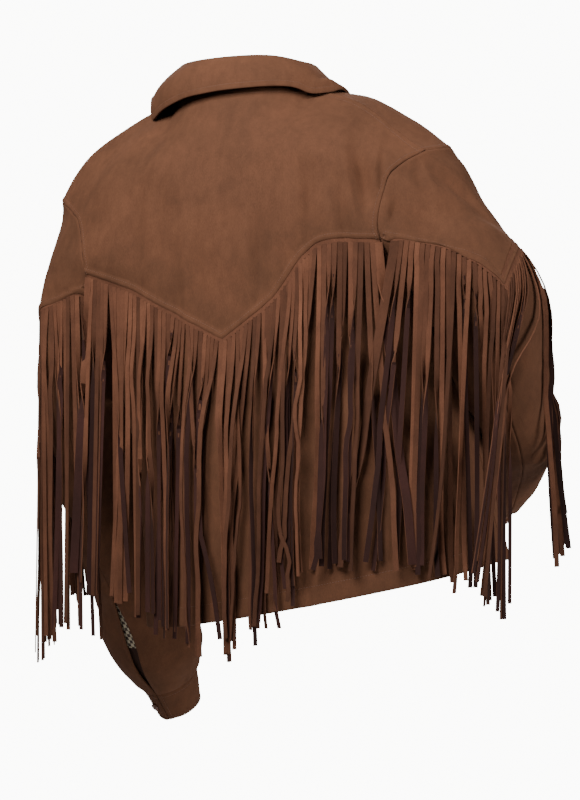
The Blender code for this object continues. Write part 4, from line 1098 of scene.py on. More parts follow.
RIGHT_ARM = {
    "head": ArmSection(-271, -2, -240, 68, 0, 83, 76),
    "biceps": ArmSection(-294, -14, -288, 34, 0, 71, 73),
    "elbow_over": ArmSection(-300, -32, -345, 18, 4, 49, 68),
    "elbow_under": ArmSection(-301, -62, -389, 8, 10, 49, 60),
    "forearm": ArmSection(-279, -114, -424, 4, 24, 48, 53),
    "wrist_full": ArmSection(-243, -168, -462, 4, 34, 49, 48),
    "cuff_seam": ArmSection(-219, -199, -490, 2, 38, 39, 36),
}
LEFT_ARM = {
    "head": ArmSection(242, 0, -280, 68, 0, 97, 78),
    "biceps": ArmSection(244, -4, -356, 32, 0, 55, 78),
    "elbow_over": ArmSection(239, -18, -440, 8, 0, 48, 74),
    "elbow_under": ArmSection(235, -46, -520, 4, 4, 47, 70),
    "forearm": ArmSection(226, -86, -600, 2, 8, 53, 64),
    "wrist_full": ArmSection(216, -122, -686, 0, 10, 66, 56),
    "cuff_seam": ArmSection(207, -146, -733, 0, 10, 34, 42),
}
ARM_FOLDS = (
    ArmFold(0.575, 185, 0.035, 60, -9),
    ArmFold(0.49, 190, 0.05, 55, 5),
    ArmFold(0.56, 330, 0.04, 60, -8),
    ArmFold(0.78, 100, 0.10, 30, -4),
    ArmFold(0.93, 60, 0.05, 40, 5),
    ArmFold(0.085, 185, 0.06, 60, 3),
    ArmFold(0.34, 350, 0.07, 40, -3),
)
RIGHT_CREASES = (
    ArmFold(0.10, 118, 0.050, 26, -3.6, 0.02, 0.5),
    ArmFold(0.030, 121, 0.013, 10, -8.5, -0.05),
    ArmFold(0.050, 156, 0.018, 16, -4.5, -0.36, 0.6),
    ArmFold(0.13, 170, 0.085, 9, -6.0),
    ArmFold(0.20, 160, 0.030, 34, -2.4, 0.16, 0.5),
    ArmFold(0.30, 205, 0.026, 32, -2.2, 0.14, 0.5),
    ArmFold(0.42, 120, 0.026, 36, -2.6, -0.10, 0.5),
    ArmFold(0.655, 150, 0.022, 42, -3.0, 0.06, 0.6),
    ArmFold(0.70, 210, 0.020, 34, -2.4, -0.08, 0.5),
    ArmFold(0.50, 330, 0.022, 40, -3.0, 0.05, 0.5),
    ArmFold(0.64, 340, 0.020, 38, -2.6, -0.06, 0.5),
    ArmFold(0.80, 190, 0.030, 30, -2.2, 0.14, 0.5),
    ArmFold(0.88, 300, 0.030, 30, -2.4, -0.12, 0.5),
    ArmFold(0.47, 12, 0.08, 40, 5.0),
)
LEFT_CREASES = (
    ArmFold(0.12, 110, 0.040, 24, -3.0, 0.04, 0.5),
    ArmFold(0.20, 190, 0.030, 34, -2.2, 0.10, 0.5),
    ArmFold(0.33, 140, 0.024, 36, -2.2, -0.10, 0.5),
    ArmFold(0.47, 110, 0.022, 40, -2.8, 0.08, 0.6),
    ArmFold(0.545, 150, 0.020, 38, -2.6, -0.08, 0.6),
    ArmFold(0.62, 100, 0.022, 36, -2.4, 0.10, 0.5),
    ArmFold(0.73, 60, 0.024, 34, -2.6, -0.12, 0.5),
    ArmFold(0.80, 130, 0.026, 30, -2.4, 0.12, 0.5),
    ArmFold(0.86, 200, 0.024, 32, -2.4, -0.10, 0.5),
    ArmFold(0.52, 320, 0.022, 40, -2.8, 0.06, 0.5),
    ArmFold(0.70, 300, 0.026, 34, -2.4, 0.10, 0.5),
)


# The sleeve yokes' seams: degrees round the sleeve, and places along it.
RIGHT_YOKE = (
    (97, 104, 110, 114, 128, 146, 176, 200, 215, 230, 245, 260, 275),
    (0.014, 0.055, 0.15, 0.225, 0.30, 0.290, 0.280, 0.265, 0.235, 0.195, 0.14, 0.08, 0.014),
)
LEFT_YOKE = (
    (76, 88, 94, 98, 106, 128, 146, 176, 200, 230, 255, 271),
    (0.014, 0.02, 0.045, 0.095, 0.145, 0.225, 0.215, 0.20, 0.18, 0.13, 0.06, 0.014),
)


@dataclass
class Sleeve:
    """One sleeve: v from the armhole (0) to the cuff seam (1), and degrees round it, from the
    underarm over the back (90) and the outer side (180) to the front (270)."""

    side: Side
    sections: dict[str, ArmSection]
    creases: tuple[ArmFold, ...]
    yoke: tuple[tuple[float, ...], tuple[float, ...]]
    back: Torso
    front: Torso
    point: float = 128
    crease: float = 1.35
    gather: float = 2.6 * MM
    gather_run: float = 0.055
    ripples: tuple[Ripple, ...] = (Ripple(70 * MM, 0.6 * MM, 21), Ripple(24 * MM, 0.18 * MM, 22))

    def __post_init__(self) -> None:
        """Takes the armhole from the torso and measures the sleeve's middle line."""
        edge = edge_in(np.array([float(self.side.value)]))
        halves, ways, rows = [], [], []
        for torso in (self.back, self.front):
            t = TorsoRows(torso, edge).armhole()
            halves.append(torso.points(edge, t)[:, 0])
            ways.append(torso.normals(edge, t)[:, 0])
            rows.append(len(t))
        for end in (0, -1):
            ways[0][end] = ways[1][end] = unit(ways[0][end] + ways[1][end])
        halves[0][-1] = halves[1][-1] = (halves[0][-1] + halves[1][-1]) / 2
        self.loop = np.concatenate([halves[0], halves[1][-2:0:-1]])
        self.body_ways = np.concatenate([ways[0], ways[1][-2:0:-1]])
        turns = []
        for half in halves:
            run = run_along(half)
            turns.append(180 * run / run[-1])
        self.turn = np.concatenate([turns[0], 360 - turns[1][-2:0:-1]])
        # The back seam meets the armhole at the yoke seam, or a little lower on the left.
        low = 3 * ARM_ROWS // 4 if self.side is Side.LEFT else ARM_ROWS
        self.back_seam, self.front_seam = self.turn[low], self.turn[len(self.loop) - ARM_ROWS]
        centres = [self.loop.mean(0)]
        centres += [np.array((s.x, s.y, s.z)) * MM for s in self.sections.values()]
        self.centres = np.array(centres)
        run = run_along(self.centres)
        self.length, self.knots = run[-1], run / run[-1]
        own = self.own_ways(self.turn, np.full((1, len(self.turn)), 0.004))[0]
        share = smooth_step((own * self.body_ways).sum(1), -0.1, 0.5)[:, None]
        self.rim = unit(own + share * self.body_ways)

    def ring(self, index: int, degrees: Points) -> Points:
        """Points of one section at these degrees."""
        row = list(self.sections.values())[index]
        lift, turn = math.radians(row.lift), math.radians(row.turn)
        side, flat = self.side.value, math.cos(lift)
        out = np.array([side * flat * math.cos(turn), -flat * math.sin(turn), math.sin(lift)])
        k = index + 1
        run = self.centres[min(k + 1, len(self.centres) - 1)] - self.centres[k - 1]
        axis = unit(run - np.dot(run, out) * out)
        back = -side * np.cross(axis, out)
        b = np.radians(degrees)[:, None]
        return self.centres[k] - np.cos(b) * row.out * MM * out + np.sin(b) * row.side * MM * back

    def end_axis(self) -> Points:
        """The way that the sleeve's end faces."""
        ends = self.ring(len(self.sections) - 1, np.array([0.0, 90.0, 180.0]))
        return unit(-self.side.value * np.cross(ends[2] - ends[0], ends[1] - self.centres[-1]))

    def read_loop(self, values: Points, degrees: Points) -> Points:
        """Values given at the armhole's points, read at degrees round it."""
        around = np.concatenate([self.turn, [360.0]])
        return read_line(np.mod(degrees, 360), around, np.concatenate([values, values[:1]]))

    def plain(self, degrees: Points, v: Points) -> Points:
        """Points without folds."""
        wrapped = np.mod(degrees, 360)
        curves = [self.read_loop(self.loop, degrees)]
        curves += [self.ring(k, wrapped) for k in range(len(self.sections))]
        return loft(self.knots, np.stack(curves), v)

    def own_ways(self, degrees: Points, v: Points) -> Points:
        """Ways out of the plain surface."""
        round_it = self.plain(degrees + 3, v) - self.plain(degrees - 3, v)
        ahead, behind = np.clip(v + 0.012, 0, 1), np.clip(v - 0.012, 0, 1)
        along = self.plain(degrees, ahead) - self.plain(degrees, behind)
        return -self.side.value * unit(np.cross(along, round_it))

    def normals(self, degrees: Points, v: Points) -> Points:
        """Ways out, shared with the body at the armhole."""
        own, rim = self.own_ways(degrees, v), self.read_loop(self.rim, degrees)
        share = smooth_step(v, 0.003, 0.03)[..., None]
        return unit(rim[None] * (1 - share) + own * share)

    def fold_depth(self, degrees: Points, v: Points) -> Points:
        """How far folds, creases and the gathers at the cuff move the cloth outwards."""
        depth = sum(fold.at(degrees, v) for fold in ARM_FOLDS)
        creases = self.crease * sum(fold.at(degrees, v) for fold in self.creases)
        b = np.radians(degrees)[None]
        wave = 0.5 + 0.5 * np.cos(11 * b + 1.3 * np.sin(3 * b) + 2.0 * np.sin(2 * b + 1) - 4.0 * v)
        gather = self.gather * wave * np.exp(-(((1 - v) / self.gather_run) ** 2))
        gather = gather * smooth_step(1 - v, 0, 0.012)
        return (depth + creases) * smooth_step(v, 0.0, 0.06) + gather

    def points(
        self, degrees: Points, v: Points, out: Points | float = 0.0, fine: bool = True
    ) -> Points:
        """Points of the folded sleeve.

        Args:
            degrees: columns.
            v: rows, (rows, columns).
            out: metres outwards.
            fine: with the small ripples, or with the folds alone.

        Returns:
            The points.
        """
        p, n = self.plain(degrees, v), self.normals(degrees, v)
        depth = self.fold_depth(degrees, v)
        if fine:
            calm = smooth_step(v, 0.0, 0.06) * smooth_step(1 - v, 0.0, 0.03)
            depth = depth + calm * sum(ripple.at(p) for ripple in self.ripples)
        return p + n * (depth + out)[..., None]

    def yoke_v(self, degrees: Points) -> Points:
        """The sleeve yoke seam's v at degrees round the sleeve."""
        around, places = self.yoke
        return through_tip(around, places, around.index(self.point), degrees)


# How the strands lean at degrees round the sleeves: shares of their weight, in x and y.
RIGHT_SWAY = {
    97: (0.24, 0.05),
    105: (0.06, 0.02),
    116: (0.0, 0.0),
    128: (0.0, 0.0),
    142: (0.03, 0.16),
    172: (0.08, 0.30),
    179.8: (0.05, 0.34),
    180: (0.0, -0.16),
    210: (-0.08, -0.10),
    240: (-0.12, -0.02),
}
LEFT_SWAY = {
    76: (-0.02, 0.0),
    100: (-0.02, 0.0),
    150: (-0.03, 0.0),
    185: (-0.03, 0.0),
    240: (0.0, -0.03),
}
# The same at columns of the back, and for the fronts, which hang straight.
BACK_SWAY = {-1: (-0.13, 0.0), -0.85: (0.0, 0.0), 0.85: (0.0, 0.0), 1: (0.06, 0.0)}
NO_SWAY = {0: (0, 0)}

SLIT_PLACES = (0.73, 1.0)
SLIT_HALF = 6.4 * MM
SLIT_REACH = 34 * MM  # how far off the seam the cloth moves with its edge


def open_slit(sheet: Points, v: Points, edge: Edge) -> Points:
    """Draws a seam's edge back to open the seam near the cuff.

    Args:
        sheet: the piece's points.
        v: its rows.
        edge: the seam's edge.

    Returns:
        The moved points.
    """
    flip = edge is Edge.RIGHT
    grid = sheet[:, ::-1].copy() if flip else sheet.copy()
    rows = v[:, -1] if flip else v[:, 0]
    low, high = SLIT_PLACES
    share = np.sin(np.pi * np.clip((rows - low) / (high - low), 0, 1)) ** 1.2
    for r in np.nonzero(share > 0.001)[0]:
        run = run_along(grid[r])
        moved = run + SLIT_HALF * share[r] * np.clip(1 - run / SLIT_REACH, 0, 1) ** 1.5
        grid[r] = read_line(moved, run, grid[r])
    return grid[:, ::-1] if flip else grid


# ---------------------------------------------------------------- fringe


@dataclass
class FringeSeam:
    """The line that a fringe hangs from: a reader of points on the cloth under the seam."""

    points_at: Callable[[Points, float, float], Points]
    first: float
    last: float
    drop: float = 0.4 * MM
    steps: int = 600

    def __post_init__(self) -> None:
        """Measures the line."""
        self.fine = np.linspace(self.first, self.last, self.steps)
        self.run = run_along(self.points_at(self.fine, self.drop, 0.0))

    def params(self, distance: Points) -> Points:
        """Places on the line at distances along it."""
        return np.interp(distance, self.run, self.fine)


def torso_seam(torso: Torso, first: float, last: float) -> FringeSeam:
    """The fringe line of a torso yoke between two columns."""

    def points_at(a: Points, drop: float, lift: float) -> Points:
        seam = torso.seam_t(a)
        t = (seam - gap_in_t(torso, a, seam, drop))[None]
        return torso.points(a, t, np.full(t.shape, lift))[0]

    return FringeSeam(points_at, first, last)


def sleeve_seam(sleeve: Sleeve) -> FringeSeam:
    """The fringe line of a sleeve yoke, from the back seam to the front of the arm."""

    def points_at(degrees: Points, drop: float, lift: float) -> Points:
        v = (sleeve.yoke_v(degrees) + drop / sleeve.length)[None]
        return sleeve.points(degrees, v, np.full(v.shape, lift))[0]

    return FringeSeam(points_at, sleeve.back_seam + 0.8, 240.0)


@dataclass
class Fringe:
    """A strip of suede in a yoke seam, cut into strands below."""

    name: str
    node: str
    seam: FringeSeam
    sway: dict[float, tuple[float, float]]
    seed: int
    length: float = 0.372
    pitch: float = 6.4 * MM
    width: float = 6.1 * MM
    thick: float = 1.3 * MM
    stand: float = 1.0
    sideways: float = 360.0
    strip_height: float = 6.5 * MM
    strip_lift: float = 0.42 * MM
    end_width: float = 1.8  # the end strands' width, in usual ones
    twisted: float = 0.47  # the share of the strands that turn over
    bunch: tuple[float, float] = (22 * MM, 56 * MM)  # distances between the bunches' middles
    scatter: float = 0.016  # spread of the strands' sideways pulls
    strays: float = 0.12  # the share of the strands that fall across others
    stray: float = 0.045  # spread of their extra pulls
    rim: float = 60 * MM  # where the pulls fade towards the seam's ends
    off_cloth: float = 0.03  # the most that a strand is pulled away from the cloth

    def __post_init__(self) -> None:
        """Sets out the strands along the seam."""
        seam, rng = self.seam, np.random.default_rng(self.seed)
        count = int(seam.run[-1] // self.pitch)
        step = seam.run[-1] / count
        self.starts = (np.arange(count) + 0.5) * step
        self.low = seam.drop + self.strip_height
        lift = self.strip_lift + self.thick / 2
        place = seam.params(self.starts)
        self.roots = seam.points_at(place, self.low, lift)
        ahead = seam.points_at(seam.params(self.starts + 4 * MM), self.low, lift)
        behind = seam.points_at(seam.params(self.starts - 4 * MM), self.low, lift)
        line = ahead - behind
        self.along = unit(line * LEVEL)
        outer = seam.points_at(place, self.low, lift + 10 * MM)
        way = (outer - self.roots) * LEVEL
        self.ways = unit(way - (way * self.along).sum(1, keepdims=True) * self.along)
        level = np.linalg.norm(line[:, :2], axis=1) / np.linalg.norm(line, axis=1)
        self.widths = np.full(count, self.width) * np.clip(level, 0.72, 1.0)
        self.widths[[0, -1]] *= self.end_width
        self.lengths = self.length * rng.uniform(0.975, 1.02, count)
        self.pull = self.lean(place, rng)
        # Each strand's own tone, drawn at random, with its range pushed far towards dark: partly the
        # nap's real variation, partly painted shade for strands in shadow among the bunches.
        self.tones = rng.uniform(0.54, 1.15, count)
        turned = rng.random(count)
        over, slight = rng.uniform(140, 220, count), rng.uniform(0, 46, count)
        size = np.where(turned < self.twisted, over, slight)
        size = np.where(place > self.sideways, rng.uniform(50, 120, count), size)
        self.twists = np.radians(size) * rng.choice((-1, 1), count)
        self.twist_from = rng.uniform(0.0, 0.55, count) ** 1.4
        self.twist_run = rng.uniform(0.14, 0.42, count)
        layers = np.array([rng.permutation(5) for _ in range(count // 5 + 1)]).ravel()[:count]
        self.layers = np.where(place > self.sideways, 0.3 * layers, layers)

    def lean(self, place: Points, rng: np.random.Generator) -> Points:
        """Sideways pulls: strands gather in uneven bunches, and a few fall across the others.

        Args:
            place: the strands' places on the seam.
            rng: the fringe's random draws.

        Returns:
            The pull on each strand, as shares of its weight.
        """
        count = len(self.starts)
        heads = np.cumsum(rng.uniform(*self.bunch, 60)) - 30 * MM
        own = np.argmin(abs(self.starts[:, None] - heads[None]), 1)
        gather = rng.uniform(0.15, 0.85, len(heads))[own]
        side = gather * (heads[own] - self.starts) / self.length
        side = side + rng.normal(0, self.scatter, count)
        side += np.where(rng.random(count) < self.strays, rng.normal(0, self.stray, count), 0)
        rim = np.minimum(self.starts, self.seam.run[-1] - self.starts)
        side *= 0.4 + 0.6 * smooth_step(rim, 0, self.rim)
        pull = self.along * side[:, None]
        pull = pull + self.ways * rng.uniform(0.0, self.off_cloth, (count, 1))
        for k in range(2):
            pull[:, k] += np.interp(place, list(self.sway), [way[k] for way in self.sway.values()])
        return pull


@dataclass
class HangingStrands:
    """Chains that start out from their roots and fall to rest on the cloth, in layers."""

    fringes: list[Fringe]
    body: BVHTree
    links: int = 24
    steps: int = 190
    quick_steps: int = 40
    time: float = 1 / 120
    damping: float = 0.965
    clear: float = 3.2 * MM
    layer: float = 3.0 * MM
    root_clear: float = 1.7 * MM
    reach: float = 0.03
    stiff: float = 0.35
    passes: tuple[int, int] = (7, 30)  # link passes of a usual step, and of the last steps
    last_steps: int = 14

    def __post_init__(self) -> None:
        """Lays the chains out."""
        self.roots = np.concatenate([f.roots for f in self.fringes])
        ways = np.concatenate([f.ways for f in self.fringes])
        self.link = np.concatenate([f.lengths for f in self.fringes])[:, None, None] / self.links
        self.pull = np.concatenate([f.pull for f in self.fringes])[:, None]
        off = np.concatenate([(self.clear + self.layer * f.layers) * f.stand for f in self.fringes])
        share = smooth_step(np.arange(self.links + 1) / self.links, 0.02, 0.28)
        self.off = self.root_clear + off[:, None] * share[None]
        start = unit(ways + np.array([0, 0, -0.9]))[:, None]
        self.p = self.roots[:, None] + np.arange(self.links + 1)[None, :, None] * self.link * start
        self.before = self.p.copy()

    def keep_links(self, passes: int) -> None:
        """Pulls the links back to their length."""
        for _ in range(passes):
            for odd in (0, 1):
                upper, lower = self.p[:, odd:-1:2], self.p[:, odd + 1 :: 2]
                n = min(upper.shape[1], lower.shape[1])
                gap = lower[:, :n] - upper[:, :n]
                size = np.linalg.norm(gap, axis=2, keepdims=True)
                push = gap * (size - self.link) / np.maximum(size, 1e-9)
                share = np.full((1, n, 1), 0.5)
                if odd == 0:
                    share[0, 0, 0] = 0.0
                self.p[:, odd : odd + 2 * n : 2] += push * share
                self.p[:, odd + 1 : odd + 1 + 2 * n : 2] -= push * (1 - share)
            self.p[:, 0] = self.roots

    def keep_off_cloth(self) -> None:
        """Holds each point its own distance off the cloth."""
        flat, off = self.p[:, 1:].reshape(-1, 3), self.off[:, 1:].reshape(-1)
        moved = flat.copy()
        for k, spot in enumerate(flat):
            hit, normal, _, distance = self.body.find_nearest(Vector(spot), self.reach)
            if hit is None:
                continue
            side = (Vector(spot) - hit).dot(normal)
            if side < off[k] and (side < 0 or distance < off[k]):
                moved[k] = np.array(hit + normal * off[k])
        change = (moved - flat).reshape(self.p[:, 1:].shape)
        self.p[:, 1:] += change
        self.before[:, 1:] += change

    def settle(self) -> list[Points]:
        """Lets the strands fall.

        Returns:
            The chains' points for each fringe.
        """
        steps = self.steps
        fall = (self.pull - UP) * 9.81 * self.time**2
        for step in range(steps):
            speed = (self.p - self.before) * self.damping
            self.before = self.p.copy()
            self.p += speed + fall
            self.p[:, 0] = self.roots
            self.keep_links(self.passes[step > steps - self.last_steps])
            middles = (self.p[:, 2:] + self.p[:, :-2]) / 2
            self.p[:, 1:-1] += self.stiff * (middles - self.p[:, 1:-1])
            self.keep_off_cloth()
        made, first = [], 0
        for fringe in self.fringes:
            made.append(self.p[first : first + len(fringe.roots)])
            first += len(fringe.roots)
        return made


@dataclass
class FringeMesh:
    """Builds a fringe's strip and strands: pale napped faces, dark backs, ends cut square."""

    fringe: Fringe
    points: list[Points] = field(default_factory=list)
    faces: list[tuple[int, ...]] = field(default_factory=list)
    slots: list[int] = field(default_factory=list)
    tones: list[float] = field(default_factory=list)

    def ribbon(self, rings: Points, tones: Points) -> None:
        """Adds a closed ribbon.

        Args:
            rings: its four corners at each step, the back's first and last, (steps, 4, 3).
            tones: its tone at each step; on the strands this carries their painted shade.
        """
        first, last = len(self.points), len(self.points) + 4 * (len(rings) - 1)
        self.points += list(rings.reshape(-1, 3))
        self.tones += list(np.repeat(tones, 4))
        for a in range(first, last, 4):
            for side in range(4):
                n = (side + 1) % 4
                self.faces.append((a + side, a + n, a + n + 4, a + side + 4))
                self.slots.append(1 if side == 3 else 0)
        self.faces += [tuple(range(first + 3, first - 1, -1)), tuple(range(last, last + 4))]
        self.slots += [0, 0]

    def strip(self) -> None:
        """Adds the strip, whose lower edge the strands are cut from."""
        f = self.fringe
        distance = np.linspace(0, f.seam.run[-1], 2 * len(f.starts) + 1)
        place = f.seam.params(distance)
        under, low = -2.0 * MM, f.low + 0.6 * MM
        corners = (
            (under, f.strip_lift),
            (under, f.strip_lift + f.thick * 0.7),
            (low, f.strip_lift + f.thick),
            (low, f.strip_lift),
        )
        rings = [f.seam.points_at(place, drop, lift) for drop, lift in corners]
        self.ribbon(np.stack(rings, 1), np.full(len(distance), 0.95))

    def strand(self, i: int, chain: Points) -> None:
        """Adds one strand along its hanging chain."""
        f = self.fringe
        share = np.arange(len(chain)) / (len(chain) - 1)
        run = unit(np.gradient(chain, axis=0))
        across = unit(f.along[i] - (run @ f.along[i])[:, None] * run)
        out = np.cross(across, run)
        out = out * np.where(out @ f.ways[i] < 0, -1.0, 1.0)[:, None]
        turn = smooth_step(share, f.twist_from[i], f.twist_from[i] + f.twist_run[i])
        turn = (f.twists[i] * turn)[:, None]
        wide = (across * np.cos(turn) + out * np.sin(turn)) * (f.widths[i] / 2)
        deep = (out * np.cos(turn) - across * np.sin(turn)) * (f.thick / 2)
        rings = [chain - wide - deep, chain - wide + deep, chain + wide + deep, chain + wide - deep]
        # Painted shade: a slow wave of lighter and darker along each strand stands in for the nap's
        # shading as the strand turns to and from the light. It fades out near the root.
        painted_nap_shade = np.sin(9 * share + 5.1 * i) * smooth_step(share, 0.03, 0.2)
        self.ribbon(np.stack(rings, 1), f.tones[i] * (1 + 0.13 * painted_nap_shade))

    def make(
        self, chains: Points, face: bpy.types.Material, back: bpy.types.Material
    ) -> bpy.types.Object:
        """Builds the whole fringe as one piece."""
        self.strip()
        for i, chain in enumerate(chains):
            self.strand(i, chain)
        made = make_mesh(self.fringe.name, self.points, self.faces, (face, back))
        made.data.polygons.foreach_set("material_index", np.array(self.slots, dtype=np.int32))
        # Each point's tone: the strand's own tone together with the painted shade along it.
        tone = made.data.attributes.new("tone", "FLOAT", "POINT")
        tone.data.foreach_set("value", np.array(self.tones))
        turn_out(made)
        made.data.set_sharp_from_angle(angle=math.radians(40))
        return made


# ---------------------------------------------------------------- the jacket


@dataclass
class Cloth:
    """What the cloth pieces share: their finishes, their topstitching and the list of those made."""

    face: bpy.types.Material
    back: bpy.types.Material
    stitches: StitchLines
    sheets: dict[str, Points] = field(default_factory=dict)
    made: dict[str, bpy.types.Object] = field(default_factory=dict)

    def add(
        self,
        node: str,
        outer: Points,
        like: Points,
        ridges: Sequence[SeamRidge] = (),
        thick: Points | float = CLOTH,
        under: Points | float = 0.0,
        lined: bool = True,
    ) -> Points:
        """Builds a cloth piece in the place of a CAD node.

        Args:
            node: the CAD node.
            outer: the piece's outer points before its seams are raised.
            like: rough ways out.
            ridges: its raised seams and edges.
            thick: the wall at each point.
            under: how far the inner side is lifted off its usual place.
            lined: whether the inner side shows the knitted back.

        Returns:
            The outer points with raised seams.
        """
        ways = sheet_ways(outer, like)
        depth = sum(ridge.depth(outer) for ridge in ridges) if ridges else np.zeros(outer.shape[:2])
        inner = outer + ways * (np.asarray(under) - thick)[..., None]
        face = outer + ways * (depth + under)[..., None]
        back = self.back if lined else self.face
        made = Wall(f"{node}_suede", face, inner).make(self.face, back)
        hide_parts(node)
        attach(made, "root")
        self.made[node], self.sheets[node] = made, face
        for ridge in ridges:
            if ridge.stitched:
                self.stitches.along(face, ways, ridge.edge, ridge.width)
        return face


HEM = SeamRidge(Edge.BOTTOM, width=HEM_WIDTH, rise=0.55 * MM, groove=0.4 * MM)
YOKE_EDGE = SeamRidge(Edge.BOTTOM, rise=1.0 * MM, groove=1.1 * MM)
CAP_EDGE = SeamRidge(Edge.TOP, rise=1.0 * MM, groove=1.1 * MM)
CAP_HEAD = SeamRidge(Edge.BOTTOM, width=5 * MM, rise=0.2 * MM, roll=1.0 * MM, stitched=False)
SIDE_LEFT, SIDE_RIGHT = (
    SeamRidge(edge, width=4 * MM, rise=0.25 * MM, roll=0.7 * MM, stitched=False)
    for edge in (Edge.LEFT, Edge.RIGHT)
)
ARMHOLE_LEFT, ARMHOLE_RIGHT = (
    SeamRidge(edge, rise=0.6 * MM, groove=0.6 * MM, roll=1.1 * MM)
    for edge in (Edge.LEFT, Edge.RIGHT)
)
SHOULDER = SeamRidge(Edge.TOP, rise=0.9 * MM, groove=1.0 * MM)
EDGE_RIDE = 1.55 * MM  # lift of a yoke's lower edge over the fringe strip
BAND_LAP, BAND_INNER = 0.045, 0.042  # the fronts' lap past the middle, and the band's inner edge


def edge_ride(sheet: Points, edge: Edge) -> Points:
    """Lift of a yoke near its lower edge, where it lies over the strip."""
    return EDGE_RIDE * (1 - smooth_step(run_from(sheet, edge), 3.2 * MM, 9.5 * MM))


@dataclass
class Body:
    """The back and the fronts with their yokes."""

    cloth: Cloth
    back: Torso
    front: Torso
    columns_back: int = 116
    columns_front: int = 62
    turn_up: float = 1.0 * MM

    def panels(
        self,
        torso: Torso,
        a: Points,
        names: tuple[str, str],
        dive: Points,
        sides: tuple[SeamRidge, ...],
    ) -> list[Points]:
        """Builds a panel and the yoke over it.

        Args:
            torso: the half that they belong to.
            a: their columns.
            names: the panel's and the yoke's node.
            dive: metres outwards for each column.
            sides: the raised seams of their side edges.

        Returns:
            Their outer points.
        """
        rows = TorsoRows(torso, a)
        low = torso.points(a, rows.low, np.broadcast_to(dive, rows.low.shape))
        like = torso.normals(a, rows.low)
        turn_up = self.turn_up * (1 - smooth_step(run_from(low, Edge.BOTTOM), *HEM_FADE))
        made = [self.cloth.add(names[0], low, like, (HEM, *sides), thick=CLOTH + turn_up)]
        yoke = torso.points(a, rows.yoke, np.broadcast_to(dive, rows.yoke.shape))
        like = torso.normals(a, rows.yoke)
        ridges = (YOKE_EDGE, ARMHOLE_RIGHT)
        if not torso.front:
            ridges = (YOKE_EDGE, SHOULDER, ARMHOLE_LEFT, ARMHOLE_RIGHT)
        under = edge_ride(yoke, Edge.BOTTOM)
        made.append(self.cloth.add(names[1], yoke, like, ridges, under=under))
        LOG.info("%s and %s: %d and %d points", *names, low.size // 3, yoke.size // 3)
        return made

    def build(self) -> list[tuple[Points, bool]]:
        """Builds the three panels and three yokes."""
        a = edge_in(2 * spread(self.columns_back, 0.64, 4 * MM, 4 * MM) - 1)
        names, sides = ("back_panel", "back_yoke"), (SIDE_LEFT, SIDE_RIGHT)
        made = self.panels(self.back, a, names, np.zeros(len(a)), sides)
        sheets = [(s, True) for s in made]
        for side in Side:
            share = spread(self.columns_front, 0.3, 4 * MM, 4 * MM)
            a = edge_in(side.value * (share * (1 + BAND_LAP) - BAND_LAP))
            dive = np.zeros(len(a))
            if side is Side.LEFT:
                dive = -(CLOTH + 2.5 * SEAM_GAP) * (1 - smooth_step(a, 0.05, 0.14))
            names = (f"front_panel_{side.word}", f"front_yoke_{side.word}")
            made = self.panels(self.front, a, names, dive, (SIDE_RIGHT,))
            sheets += [(s, side is Side.RIGHT) for s in made]
        return sheets


def with_tip(degrees: Points, tip: float) -> Points:
    """The columns with the nearest one moved onto the yoke's point."""
    moved = degrees.copy()
    moved[1:-1][np.argmin(abs(moved[1:-1] - tip))] = tip
    return moved


